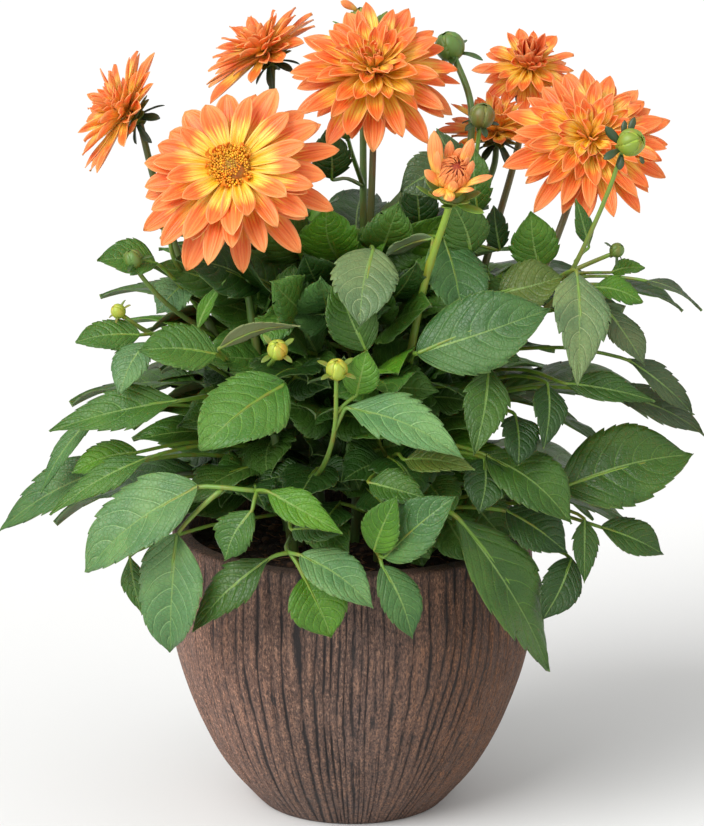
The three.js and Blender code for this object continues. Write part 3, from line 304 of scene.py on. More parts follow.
def potLook():
    look, tree, shader = newLook("mouldedWoodGrain", 0.7)
    relief = readMark(tree, "relief")
    broad = grainOf(tree, 9, 3)
    fibre = grainOf(tree, 300, 6, 0.7, (1, 1, 0.10))
    speck = grainOf(tree, 900, 4, 0.75, (1, 1, 0.4))
    jag = grainOf(tree, 380, 3, 0.6, (1, 1, 0.3))
    for grain, reach in ((fibre, 0.9), (speck, 0.6), (jag, 0.5)):
        relief = calc(tree, "ADD", relief, pushed(tree, grain, reach))
    low = tinted(tree, soften(tree, broad, 0.35, 0.65), (0.014, 0.010, 0.010), (0.032, 0.022, 0.020))
    body = tinted(tree, soften(tree, broad, 0.35, 0.65), (0.108, 0.058, 0.040), (0.145, 0.086, 0.066))
    crestToneAndHighlight = tinted(tree, soften(tree, speck, 0.35, 0.65), (0.360, 0.205, 0.136), (0.240, 0.126, 0.080))
    # grooves go near black: partly dark grain, partly painted shade
    colour = tinted(tree, soften(tree, relief, 0.24, 0.54), low, body)
    # crests take a paler tone: partly pale grain, partly painted highlight
    colour = tinted(tree, soften(tree, relief, 0.62, 0.94, 0.0, 0.95), colour, crestToneAndHighlight)
    pit = soften(tree, speck, 0.49, 0.40)
    colour = tinted(tree, times(tree, pit, 0.7), colour, (0.018, 0.012, 0.011))
    # paler flecks on the raised grain: partly wear, partly painted highlight
    wearAndGlint = soften(tree, speck, 0.53, 0.66, 0.0, 0.62)
    colour = tinted(tree, times(tree, wearAndGlint, soften(tree, relief, 0.4, 0.7)), colour, (0.500, 0.300, 0.200))
    place = put(tree, "ShaderNodeSeparateXYZ", {0: put(tree, "ShaderNodeTexCoord").outputs["Object"]}).outputs[0]
    warmShadeRight = soften(tree, calc(tree, "MULTIPLY_ADD", broad, 0.06, place), 0.03, 0.13)  # painted shade: darker, warmer brown to the right
    colour = tinted(tree, warmShadeRight, colour, toned(tree, colour, (0.84, 0.60, 0.36)))
    paleLitLeft = soften(tree, calc(tree, "MULTIPLY_ADD", broad, 0.05, place), 0.0, -0.085)  # painted light: much paler to the left, as if lit from that side
    colour = tinted(tree, paleLitLeft, colour, toned(tree, colour, (1.75, 1.60, 1.54)))
    height = calc(tree, "MULTIPLY_ADD", fibre, 1.6, speck)
    rough = soften(tree, fibre, 0.3, 0.7, 0.5, 0.8)
    finishLook(tree, shader, colour, height, 0.9, 0.0016, rough)
    return look


def soilLook():
    look, tree, shader = newLook("peat", 0.95)
    lump = grainOf(tree, 160, 5, 0.65)
    tint = readMark(tree, "tint", "Color")
    colour = tinted(tree, soften(tree, lump, 0.35, 0.7), toned(tree, tint, (0.45, 0.42, 0.40)), tint)
    finishLook(tree, shader, colour, lump, 0.9, 0.002)
    return look


looks = dict(
    leafTop=leafLook("leafTop", False), leafUnder=leafLook("leafUnder", True),
    petalTop=petalLook("petalTop", False), petalUnder=petalLook("petalUnder", True),
    stalk=stalkLook(), floret=floretLook(), pot=potLook(), soil=soilLook(),
)
print("materials made")


# sheets, rods and pieces
def takeForm():  # points and faces of the form just added, which then goes
    form = bpy.context.object
    points = np.array([v.co[:] for v in form.data.vertices])
    faces = np.array([p.vertices[:] for p in form.data.polygons])
    used = form.data
    bpy.data.objects.remove(form)
    bpy.data.meshes.remove(used)
    return points, faces


def gridSheet(rows, columns):  # a flat grid, read once: place along 0..1, share across -1..1, faces
    bpy.ops.mesh.primitive_grid_add(x_subdivisions=rows, y_subdivisions=columns, size=1, location=(0, 0, 0))
    spots, faces = takeForm()
    return dict(u=spots[:, 0] + 0.5, s=spots[:, 1] * 2, faces=faces)


def follow(outline, u):  # the half width that an outline has at each place along
    return np.interp(u, [p[0] for p in outline], [p[1] for p in outline])


def mapOf(u, s):
    return np.column_stack([u, s / 2 + 0.5])


def tubeFaces(rings, sides):  # a wall between rings of points, closed at both ends
    a = np.arange(sides)
    b = (a + 1) % sides
    wall = [np.column_stack([i * sides + a, i * sides + b, (i + 1) * sides + b, (i + 1) * sides + a])
            for i in range(rings - 1)]
    return [*np.concatenate(wall), a[::-1].copy(), (rings - 1) * sides + a]


def newBag():
    return dict(points=[], faces=[], maps=[], tints=[], marks=[], count=0)


def drop(bag, points, faces, uv=None, tint=(1, 1, 1), mark=0.0):
    n = len(points)
    bag["points"].append(points)
    groups = [faces] if isinstance(faces, np.ndarray) else faces
    bag["faces"].extend((np.asarray(f) + bag["count"]).tolist() for f in groups)
    bag["maps"].append(np.zeros((n, 2)) if uv is None else uv)
    bag["tints"].append(np.broadcast_to(np.asarray(tint, dtype=float), (n, 3)))
    bag["marks"].append(np.broadcast_to(np.asarray(mark, dtype=float), (n,)))
    bag["count"] += n


def makePiece(name, bag, skins, nodes, markName="ribGap", wall=None, smooth=True):
    faces = [f for group in bag["faces"] for f in (group if isinstance(group[0], list) else [group])]
    points = np.concatenate(bag["points"]) * mm
    mesh = bpy.data.meshes.new(name)
    mesh.from_pydata(points.tolist(), [], faces)
    corner = np.empty(len(mesh.loops), dtype=np.int32)
    mesh.loops.foreach_get("vertex_index", corner)
    layer = mesh.uv_layers.new(name="sheetMap")
    layer.data.foreach_set("uv", np.concatenate(bag["maps"])[corner].astype(np.float32).ravel())
    tint = np.concatenate(bag["tints"])
    tint = np.column_stack([tint, np.ones(len(tint))]).astype(np.float32)
    mesh.attributes.new("tint", "FLOAT_COLOR", "POINT").data.foreach_set("color", tint.ravel())
    marks = np.concatenate(bag["marks"]).astype(np.float32)
    mesh.attributes.new(markName, "FLOAT", "POINT").data.foreach_set("value", marks)
    piece = bpy.data.objects.new(name, mesh)
    bpy.context.scene.collection.objects.link(piece)
    for skin in skins:
        mesh.materials.append(looks[skin])
    if smooth:
        mesh.shade_smooth()
    if wall:
        bpy.ops.object.select_all(action="DESELECT")
        bpy.context.view_layer.objects.active = piece
        piece.select_set(True)
        bpy.ops.object.modifier_add(type="SOLIDIFY")
        shell = piece.modifiers[-1]
        shell.thickness, shell.offset = wall * mm, 0
        shell.material_offset = len(skins) - 1
        bpy.ops.object.modifier_apply(modifier=shell.name)
        piece.select_set(False)
    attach(piece, "root")
    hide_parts(*nodes)
    return piece


def rod(bag, path, radii, sides=8, tint=(1, 1, 1), squash=1.0):  # a tapering stalk along a row of points
    path = [vec(p) for p in path]
    count = len(path)
    ways = [unit(path[min(i + 1, count - 1)] - path[max(i - 1, 0)]) for i in range(count)]
    side = unit(np.cross(ways[0], vec(0, 0, 1) if abs(ways[0][2]) < 0.9 else vec(1, 0, 0)))
    turn = 2 * np.pi * np.arange(sides) / sides
    points, maps = [], []
    for i in range(count):
        side = unit(side - ways[i] * side.dot(ways[i]))
        other = np.cross(ways[i], side)
        ring = np.outer(np.cos(turn), side) + np.outer(np.sin(turn), other) * squash
        points.append(path[i] + radii[i] * ring)
        maps.append(np.column_stack([np.full(sides, i / (count - 1)), turn / 6.3]))
    shade = np.asarray(tint, dtype=float)
    if shade.ndim == 2:  # one colour at each end
        share = np.repeat(np.arange(count) / (count - 1), sides)[:, None]
        shade = shade[0] * (1 - share) + shade[1] * share
    drop(bag, np.concatenate(points), tubeFaces(count, sides), np.concatenate(maps), shade)


def ballOf(bag, centre, f, radius, tint, long=1.0, rings=10, sides=14):
    points, maps = [], []
    for i in range(rings + 1):
        a = math.pi * (0.02 + 0.96 * i / rings)
        for j in range(sides):
            t = 2 * math.pi * j / sides
            points.append(centre + radius * (math.sin(a) * (math.cos(t) * f[0] + math.sin(t) * f[1])
                                             - long * math.cos(a) * f[2]))
            maps.append((i / rings, j / sides))
    drop(bag, np.array(points), tubeFaces(rings + 1, sides), np.array(maps), tint)


# leaves
def leafShape(sheet, seed, teeth, deep, widest, full, point, base):  # unit blade: place along, half width, lift
    u0, s = sheet["u"], sheet["s"]
    wide = np.abs(s)
    step = u0 * teeth
    tooth = np.minimum(np.floor(step + 1e-6), teeth - 1)
    part = step - tooth
    size = 0.40 + 1.05 * np.array([draw(seed, t + 40 * (a > 0)) for t, a in zip(tooth, s)])
    inside = np.clip((u0 - 0.18) / 0.16, 0, 1) * (u0 < 0.96)
    cut = deep * size * inside * (1 - np.clip(part, 0, 1) ** 0.8)  # the edge swells to a tooth, then drops back
    uneven = np.sin(2 * np.pi * (1.4 * u0 + draw(seed, 91) + 0.37 * (s > 0))) * np.sin(np.pi * u0)
    along = np.clip(u0 + wide ** 2 * 0.036 * uneven + wide ** 6 * 0.45 / teeth * part * inside, 0, 1)
    rise = np.sin(np.pi / 2 * np.clip(along / widest, 0, 1) ** base) ** base
    fall = (1 - np.clip((along - widest) / (1 - widest), 0, 1) ** full) ** point  # drawn out to a point
    across = s * rise * fall * (1 - cut * wide ** 3) * 1.04 + s * 0.02 * (1 - along)
    lean = leafPlan["veinLean"] * wide ** leafPlan["veinArc"]
    phase = leafPlan["veins"] * (along - lean) + 0.28 * (s > 0)
    puff = 0.5 - 0.5 * np.cos(2 * np.pi * phase)
    lift = leafPlan["quilt"] * puff * (1 - wide ** 4) * np.clip(wide * 4, 0, 1) * np.clip(along * 5, 0, 1)
    lift += 0.7 * np.sin(11 * along + 5 * s + 6 * draw(seed, 92)) * np.sin(6 * s + 6 * draw(seed, 93)) * wide
    lift -= 0.7 * (wide < 0.05) * (along > 0.02)
    curl = leafPlan["wave"] * wide ** 2.2 * np.sin(2 * np.pi * (1.3 * along + draw(seed, 9)) + np.where(s > 0, 1.3, 0))
    return dict(u=np.clip(along, 0, 1), s=s, share=across, lift=lift, curl=curl, faces=sheet["faces"])


def shapesOf(sheet, *rows):  # seed, teeth, their depth, widest place, fullness, point, base
    return [leafShape(sheet, *row) for row in rows]


largeShapes = shapesOf(
    gridSheet(48, 10), (11, 11, 0.09, 0.42, 2.1, 1.15, 0.85), (12, 8, 0.15, 0.40, 1.8, 1.2, 1.0),
    (13, 10, 0.11, 0.44, 2.3, 1.25, 0.85), (14, 8, 0.17, 0.40, 1.6, 1.15, 1.15),
)
smallShapes = shapesOf(
    gridSheet(28, 8), (21, 6, 0.17, 0.44, 2.1, 1.2, 0.9), (22, 5, 0.22, 0.42, 1.7, 1.2, 1.15),
    (23, 7, 0.16, 0.46, 2.3, 1.2, 0.95),
)
innerShapes = shapesOf(
    gridSheet(20, 6), (31, 5, 0.15, 0.44, 2.1, 1.2, 0.9), (32, 5, 0.20, 0.42, 1.8, 1.2, 1.1),
    (33, 5, 0.14, 0.46, 2.3, 1.2, 0.9),
)


def bladeFrame(leaf):
    base, tip = vec(leaf["base"]), vec(leaf["tip"])
    axis = tip - base
    length = np.linalg.norm(axis)
    along = axis / length
    normal = unit(vec(leaf["normal"]))
    normal = unit(normal - along * normal.dot(along))
    side = unit(np.cross(axis, normal))
    return base, axis, length, along, normal, side


def bladePoint(leaf, u, v):  # points of the blade at place u along and v mm across, with the way up there
    base, axis, length, along, normal, side = bladeFrame(leaf)
    u, v = np.atleast_1d(u)[:, None], np.atleast_1d(v)[:, None]
    lift = 4 * leaf["bend"] * length * u * (1 - u)
    slope = 4 * leaf["bend"] * (1 - 2 * u)
    up = normal - along * slope
    up = up / np.linalg.norm(up, axis=1)[:, None]
    at = base + axis * u + normal * lift + side * v + up * np.abs(v) * leafPlan["fold"]
    return at, up


def layBlade(bag, leaf, shape, tint, seed):
    half = leaf["width"] / 2
    u = shape["u"]
    sway = (draw(seed, 3) - 0.5) * 0.16 * leaf["width"] * np.sin(np.pi * u)
    v = -shape["share"] * half
    at, up = bladePoint(leaf, u, v)
    side = bladeFrame(leaf)[5]
    size = leaf["width"] / 45
    rise = (shape["lift"] + shape["curl"] * (0.5 + draw(seed, 5))) * size
    rise = rise + np.abs(v) * (0.22 * (draw(seed, 6) - 0.45)) + v * 0.30 * (draw(seed, 7) - 0.5) * u
    at = at + up * rise[:, None] + side * sway[:, None]
    drop(bag, at, shape["faces"], mapOf(u, shape["s"]), tint, np.abs(v) / 10)


def layRib(bag, leaf, path, tint, thick):  # the stalk of a leaf, running on as the midrib under its blade
    under, ways = bladePoint(leaf, [0.06, 0.2, 0.4, 0.6, 0.8], [0, 0, 0, 0, 0])
    under = under - ways * 0.55
    if path:
        bare = smoothCurve([*path, vec(leaf["base"]), under[0]], 4 * len(path) + 2)
        line = [*bare, *under[1:]]
        shares = [mix(1.35, 1.0, i / (len(bare) - 1)) for i in range(len(bare))] + [0.85, 0.65, 0.45, 0.2]
    else:
        line, shares = [vec(leaf["base"]), *under], [0.9, 0.85, 0.75, 0.6, 0.4, 0.2]
    rod(bag, line, [share * thick for share in shares], 6, tint)


def lobeOf(leaf, s, root):  # the smaller blade on one side of a compound leaf
    base, axis, length, along, normal, side = bladeFrame(leaf)
    across = unit(np.cross(axis, unit(vec(leaf["normal"])))) * s
    start = base + unit(root - base) * leafPlan["lobeBack"] + across * leafPlan["lobeBeside"]
    ahead, aside = leafPlan["lobeWay"]
    return dict(base=start, tip=start + (along * ahead + across * aside) * length * leaf["lobes"],
                normal=leaf["normal"], width=leaf["width"] * leafPlan["lobeWidth"], bend=leaf["bend"])


def shifted(leaf, shift):
    base = vec(leaf["base"])
    along = vec(leaf["tip"]) - base
    length = np.linalg.norm(along)
    normal = unit(vec(leaf["normal"]))
    side = unit(np.cross(along, normal))
    return {**leaf, "tip": vec(leaf["tip"]) + side * shift[0] * length + normal * shift[1] * length}


shifts = [  # where a leaf may lie in the solids: to the side and up, by its length, and mm up its stem
    (0, 0, 0), (0, 0.1, 8), (0, -0.1, -8), (0.12, 0, 12), (-0.12, 0, -12), (0.14, 0.14, 0), (-0.14, 0.14, 0),
    (0.14, -0.14, -16), (-0.14, -0.14, 16), (0, 0.22, 20), (0, -0.22, -20), (0.28, 0, 24), (-0.28, 0, -24),
    (0.28, 0.2, 10), (-0.28, 0.2, -10), (0.05, 0.34, 30), (-0.05, -0.34, -30),
]


# the plan of the plant, as the solids have it
petalRings = dict(  # each ring of petals: length, width, rise, curl
    open=[(60, 22, -6, -14), (57, 22, 7, -12), (49, 20, 18, -8), (38, 17, 31, -6)],
    full=[(60, 26, -12, -14), (57, 26, 5, -12), (48, 24, 23, -8), (36, 19, 43, -4), (22, 13, 64, 12)],
    flat=[(60, 25, -2, -10), (57, 25, 8, -10), (49, 23, 19, -8), (39, 19, 33, -6)],
    ball=[(60, 30, -14, -8), (54, 28, 10, -10), (38, 22, 38, -2)],
    funnel=[(60, 24, 0, -8), (54, 22, 18, -8), (42, 19, 39, -4)],
)


def ringsOf(kind, size, lift=0):
    return [(length * size, width * size, rise + lift, curl) for length, width, rise, curl in petalRings[kind]]


# glow: how far the yellow reaches; red: how dark; between: share of petals that fill the gaps; pull: the side
# on which petals stay shorter; heart: petals folded in the middle as count, length, width, lowest and highest rise
blooms = dict(
    bloom_left=dict(
        stem="stem_left", at=(-149, -14, 493), axis=(-0.85, -0.16, 0.5), spin=5, count=9,
        rings=ringsOf("funnel", 0.7, 7), core=(8, 9, 0), pull=(0.1, -0.35, 0.2), glow=0.90, red=0.02, between=0.9,
        heart=(26, 19, 5, 28, 90)),
    bloom_front=dict(
        stem="stem_front_left", at=(-79, -64, 464), axis=(-0.12, -0.86, 0.5), spin=8, count=11,
        rings=ringsOf("open", 0.98), core=(12.5, 7, 0.84), pull=(-0.14, 0, 0.3), glow=0.80, red=0.0, between=0.5,
        vary=0.35, loose=0.7, heart=None, deeper=0.12),
    bloom_back_left=dict(
        stem="stem_back_left", at=(-58, 58, 522), axis=(-0.5, -0.08, 0.86), spin=0, count=9,
        rings=ringsOf("funnel", 0.72, 0), core=(8, 9, 0), pull=(0.25, -0.35, 0.1), glow=0.70, red=0.10, between=0.9,
        heart=(14, 18, 7, 44, 90)),
    bloom_top=dict(
        stem="stem_centre", at=(15, 12, 514), axis=(-0.03, -0.64, 0.77), spin=12, count=10,
        rings=ringsOf("full", 0.88), core=(10, 14, 0), pull=(0, 0, -0.14), glow=0.90, red=0.0, between=1.0, vary=0.6,
        loose=1.2, heart=(16, 11, 5, 20, 66), inner=-0.25, ember=0.12),
    bloom_back_right=dict(
        stem="stem_back_right", at=(125, 97, 505), axis=(0.05, -0.6, 0.8), spin=20, count=8,
        rings=ringsOf("ball", 0.52), core=(8, 10, 0), glow=0.86, red=0.10, between=0.9, heart=(18, 20, 9, 56, 92),
        inner=-0.4, ember=0.45, eye=(0.35, 0.06, 0.01)),
    bloom_back=dict(
        stem="stem_back", at=(101, 50, 467), axis=(-0.02, -0.14, 0.99), spin=0, count=8,
        rings=ringsOf("funnel", 0.58, 8), core=(7.5, 9, 0), glow=1.0, red=0.0, between=0.9, heart=(12, 18, 8, 50, 90)),
    bloom_right=dict(
        stem="stem_right", at=(162, -2, 472), axis=(0.1, -0.82, 0.56), spin=3, count=10, rings=ringsOf("flat", 0.84),
        core=(10, 9, 0), pull=(0, 0, 0.14), glow=0.92, red=0.0, between=1.0, vary=0.6, loose=1.3,
        heart=(17, 19, 7, 30, 84), inner=0.1),
    bloom_opening=dict(
        stem="stem_front_right", at=(66, -92, 454), axis=(0.12, -0.5, 0.86), spin=30, count=6,
        rings=[(20, 10, 12, 30), (18, 9, 44, 36)], core=(10.5, 17, 0), green=True, glow=0.95, red=0.0, between=0.5,
        heart=None, eye=(0.30, 0.03, 0.015), ball=((66.6, -97, 468.2), 10.8, (0.25, -0.78, 0.58))),
    bloom_top_bud=dict(
        stem="stem_top_bud", at=(8, 84, 541), axis=(-0.2, -0.1, 0.97), spin=0, count=6,
        rings=[(15, 8, 44, 40), (13, 7, 62, 30)], core=(7.5, 12, 0), green=True, glow=0.6, red=0.1, between=0.3,
        heart=None, eye=(0.12, 0.22, 0.03)),
)

stems = dict(  # foot in the soil, the points passed, branches with their buds, colour low and high
    stem_left=dict(
        foot=(-36, -12), path=[(-62, -20, 270), (-91, -25, 335), (-116, -22, 390), (-134, -16, 445)],
        hue=("olive", "olive"),
        branches=[
            (340, [(-128, -58, 374), (-145, -68, 398)], (-147, -70, 405), 6, (-0.3, -0.2, 0.9), "green"),
            (372, [(-121, -48, 402)], (-123, -58, 421), 5, (0.1, -0.3, 0.9), "lime"),
            (318, [(-140, -70, 356)], (-157, -78, 371), 4.5, (-0.6, -0.2, 0.7), "lime"),
        ]),
    stem_front_left=dict(
        foot=(-40, -48), path=[(-52, -48, 270), (-67, -45, 350), (-73, -44, 405), (-70, -46, 438)],
        branches=[
            (236, [(-22, -104, 266), (-12, -128, 299)], (-10, -146, 347), 6.5, (0.05, -0.45, 0.85), "lime"),
            (322, [(-54, -104, 341)], (-49, -132, 357), 6.2, (0, -0.6, 0.7), "lime"),
        ]),
    stem_back_left=dict(foot=(-22, 30), path=[(-28, 34, 280), (-42, 44, 390), (-54, 54, 460), (-56, 58, 496)]),
    stem_centre=dict(
        foot=(2, -6), path=[(6, -4, 280), (11, 2, 380), (14, 8, 450), (15, 17, 490)], hue=("green", "russet")),
    stem_top_bud=dict(
        foot=(8, 32), path=[(8, 46, 300), (8, 62, 420), (8, 80, 505), (9, 84, 524)],
        branches=[(430, [(0, 36, 458)], (-4, 16, 479), 6.5, (-0.1, -0.4, 0.9), "green")]),
    stem_bud=dict(
        foot=(34, 10), path=[(46, 14, 290), (64, 18, 380), (80, 12, 455), (82, 22, 495)],
        bud=((68, 50, 531), 9.5, (-0.35, -0.2, 0.9), "green"),
        branches=[(405, [(84, 3, 455)], (89, -3, 491), 8, (0.2, -0.3, 0.9), "brown")]),
    stem_back=dict(
        foot=(30, 46), path=[(46, 56, 290), (78, 58, 385), (94, 54, 430), (100, 52, 448)], hue=("green", "olive")),
    stem_back_right=dict(
        foot=(52, 30), path=[(70, 46, 290), (100, 74, 390), (118, 97, 450), (123, 101, 482)], hue=("olive", "russet")),
    stem_right=dict(
        foot=(46, -14), path=[(72, -16, 270), (108, -16, 338), (134, -10, 390), (155, 3, 445)],
        hue=("olive", "russet"),
        branches=[
            (344, [(136, -40, 368), (150, -51, 395), (172, -62, 450)], (186, -68, 484), 8.5,
             (0.72, -0.6, 0.35), "striped"),
            (366, [(150, -30, 388)], (180, -40, 405), 4.5, (0.6, -0.2, 0.6), "green"),
        ]),
    stem_front_right=dict(
        foot=(18, -48), path=[(26, -52, 260), (38, -62, 330), (50, -77, 395), (63, -89, 440)],
        hue=("green", "bright")),
    shoot_back_left=dict(foot=(-46, 26), path=[(-62, 44, 250), (-74, 58, 310)]),
    shoot_back_right=dict(foot=(14, 62), path=[(18, 84, 250), (22, 96, 310)]),
)

# leaves of the full side by stem: stalk end, tip, width, where the stalk leaves the stem, colour, and what differs
frontLeaves = [
    ("stem_left", [
        ((-132, -60, 400), (-171, -72, 404), 29, 350, "green"), ((-143, -80, 355), (-188, -86, 360), 25, 322, "green"),
        ((-137, -88, 352), (-156, -112, 323), 27, 316, "silvery"),
        ((-91, -98, 346), (-142, -106, 350), 36, 306, "green"),
        ((-89, -98, 350), (-34, -124, 371), 24, 300, "straw", dict(normal=(0, 0.55, 0.83))),
        ((-115, -98, 314), (-203, -96, 292), 36, 292, "green"),
        ((-172, -76, 300), (-211, -88, 246), 16, 286, "bluish"),
        ((-145, -90, 276), (-189, -92, 262), 25, 262, "fresh"),
        ((-150, -80, 266), (-243, -62, 212), 35, 250, "bluish"),
        ((-134, -100, 276), (-196, -96, 226), 24, 240, "green"),
    ]),
    ("stem_front_left", [
        ((-45, -124, 331), (-100, -158, 296), 56, 300, "green", dict(gain=1.25)),
        ((-102, -134, 264), (-178, -128, 203), 52, 236, "silvery", dict(via=(-64, -140, 263))),
        ((-116, -136, 232), (-122, -130, 148), 49, (-86, -137, 263.5), "silvery"),
        ((-66, -148, 252), (-84, -154, 219), 29, (-63, -139, 262.6), "green"),
        ((-56, -148, 265), (-6, -170, 242), 25, (-64, -139, 262.8), "fresh"),
        ((-150, -106, 208), (-142, -120, 172), 18, 222, "green"),
        ((-34, -152, 222), (14, -170, 191), 33, 206, "silvery", dict(via=(-42, -142, 221))),
        ((-54, -144, 218), (-106, -143, 166), 32, (-42, -141, 220.6), "olive"),
        ((-32, -151, 207), (-14, -160, 168), 41, (-41, -142, 220.8), "fresh"),
        ((-40, -140, 236), (-8, -162, 240), 25, 226, "deep"),
    ]),
    ("stem_front_right", [
        ((22, -152, 221), (68, -164, 266), 36, 208, "bluish", dict(via=(18, -144, 220))),
        ((20, -150, 214), (40, -157, 166), 28, (18, -143, 219.6), "bluish"),
        ((15, -149, 225), (17, -166, 267), 27, (18, -143.5, 219.8), "fresh"),
        ((11, -138, 268), (48, -154, 262), 27, 250, "olive"), ((35, -124, 280), (81, -150, 280), 27, 262, "bronze"),
    ]),
    ("stem_front_left", [
        ((-4, -134, 318), (73, -160, 290), 42, (-12, -129, 301), "silvery", dict(gain=1.18)),
        ((3, -130, 326), (10, -136, 358), 25, (-11.5, -134, 313), "fresh"),
    ]),
    ("stem_centre", [
        ((14, -74, 412), (5, -124, 371), 44, 392, "pale"), ((9, -98, 349), (-11, -92, 398), 34, 330, "olive"),
        ((62, -44, 414), (74, -80, 361), 42, 398, "bluish"),
    ]),
    ("stem_front_right", [((44, -108, 349), (132, -106, 379), 55, 332, "bluish", dict(gain=0.85))]),
    ("stem_right", [
        ((91, -104, 338), (80, -144, 288), 33, 300, "olive"), ((151, -64, 396), (150, -112, 328), 42, 362, "pale"),
        ((172, -60, 368), (197, -82, 334), 27, 352, "ash"), ((198, -44, 385), (239, -40, 363), 20, 376, "greyed"),
        ((163, -48, 381), (197, -56, 372), 22, 370, "fresh"), ((100, -70, 382), (144, -72, 396), 36, 346, "bronze"),
        ((186, -72, 336), (232, -62, 295), 26, 330, "greyed"), ((143, -90, 324), (204, -88, 311), 23, 316, "olive"),
        ((166, -80, 316), (242, -46, 276), 27, 296, "greyed"), ((131, -94, 325), (127, -130, 289), 25, 308, "deep"),
        ((109, -104, 306), (110, -136, 279), 29, 284, "deep"), ((142, -92, 252), (232, -72, 270), 58, 250, "olive"),
    ]),
    ("stem_front_right", [
        ((90, -114, 280), (146, -136, 239), 45, 274, "olive"), ((70, -138, 244), (134, -106, 126), 53, 236, "olive"),
    ]),
    ("stem_right", [
        ((157, -98, 232), (156, -120, 193), 21, 232, "olive"), ((169, -92, 224), (212, -86, 203), 27, 222, "olive"),
        ((148, -106, 206), (128, -126, 169), 27, 208, "deep"),
    ]),
    ("stem_front_right", [
        ((88, -118, 279), (84, -146, 249), 31, 264, "deep"), ((104, -108, 240), (132, -120, 203), 37, 228, "deep"),
    ]),
    ("stem_right", [((128, -32, 391), (121, -40, 432), 34, 374, "fresh", dict(normal=(0.1, -1, 0.15)))]),
    ("stem_top_bud", [((-14, 14, 444), (-18, 6, 480), 30, 430, "deep", dict(normal=(0, -1, 0.1)))]),
    ("stem_centre", [((46, -22, 416), (42, -28, 455), 27, 402, "deep", dict(normal=(0.1, -1, 0.1)))]),
    ("stem_left", [
        ((-109, -36, 385), (-133, -46, 362), 32, 372, "silvery"),
        ((-105, -60, 353), (-85, -66, 390), 11, 340, "fresh", dict(normal=(-0.5, -0.8, 0.2))),
    ]),
    ("stem_right", [
        ((161, -40, 407), (151, -46, 442), 13, (151, -50, 399), "green", dict(normal=(0.2, -1, 0.1))),
        ((171, -30, 379), (227, -28, 360), 34, 368, "olive"),
        ((177, -28, 387), (200, -32, 391), 16, 376, "fresh", dict(normal=(0, -0.6, 0.8))),
    ]),
    ("stem_bud", [
        ((81, -46, 404), (67, -54, 441), 32, 390, "olive", dict(normal=(0, -1, 0.2))),
        ((102, -10, 399), (97, -14, 431), 18, 396, "deep", dict(normal=(0, -1, 0.1))),
    ]),
    ("stem_front_right", [((54, -64, 418), (22, -60, 404), 20, 404, "pale", dict(normal=(0, 0.55, 0.83)))]),
]

# compound leaves all round, by level: first angle, step, count, hub, tip, width, seed, lobes, face
leafLevels = [
    (-10, 33, 7, (104, 240), (204, 206), 56, 1, 0.82, 0.84), (6, 33, 6, (106, 300), (210, 282), 57, 2, 0.84, 0.84),
    (-6, 40, 5, (84, 354), (180, 354), 54, 3, 0.84, 0.82), (20, 70, 3, (42, 392), (110, 420), 46, 4, 0.8, 0.76),
    (216, 36, 4, (84, 262), (142, 250), 44, 5, 0.7, 0.7), (205, 36, 4, (78, 320), (132, 322), 42, 6, 0.7, 0.6),
    (190, 34, 5, (52, 366), (96, 402), 42, 7, 0.8, 0.45), (224, 46, 3, (44, 300), (86, 342), 44, 8, 0.85, 0.4),
]

stalkHues = paints(
    green=(0.085, 0.175, 0.032), olive=(0.085, 0.125, 0.030), russet=(0.130, 0.095, 0.035),
    bright=(0.260, 0.400, 0.030), petiole=(0.165, 0.310, 0.030), dark=(0.016, 0.036, 0.012),
    bract=(0.045, 0.110, 0.022), bud=(0.170, 0.270, 0.035),
)
budHues = paints(  # colour of the ball; its sepals are dark but on lime ones
    lime=(0.400, 0.500, 0.050), green=(0.120, 0.240, 0.040), brown=(0.150, 0.180, 0.035),
    striped=(0.280, 0.400, 0.035),
)


# stems with their branches, buds and cups
def facing(axis, spin):
    z = unit(vec(axis))
    x = unit(np.cross(vec(0, 0, 1), z))
    y = np.cross(z, x)
    c, s = math.cos(math.radians(spin)), math.sin(math.radians(spin))
    return x * c + y * s, y * c - x * s, z


def spoke(f, a):  # the way out from an axis at an angle
    return f[0] * math.cos(a) + f[1] * math.sin(a)


def studs(lines, bands, columns, seed, odd=False):  # where each petal or bract leaves its core
    for k, band in enumerate(bands):
        if band is None:
            continue
        for c in range(columns):
            if ((c + k) % 2 == 1) != odd:
                continue
            length, width, rise, curl = band
            yield dict(k=k, c=c, a=2 * math.pi * (c + 0.5) / columns,
                       length=length * (1 + 0.1 * (draw(seed + k, c) - 0.5)), width=width,
                       rise=math.radians(rise + 5 * (draw(seed + k, c + 50) - 0.5)), curl=math.radians(curl),
                       r=(lines[k][0] + lines[k + 1][0]) / 2, h=(lines[k][1] + lines[k + 1][1]) / 2)


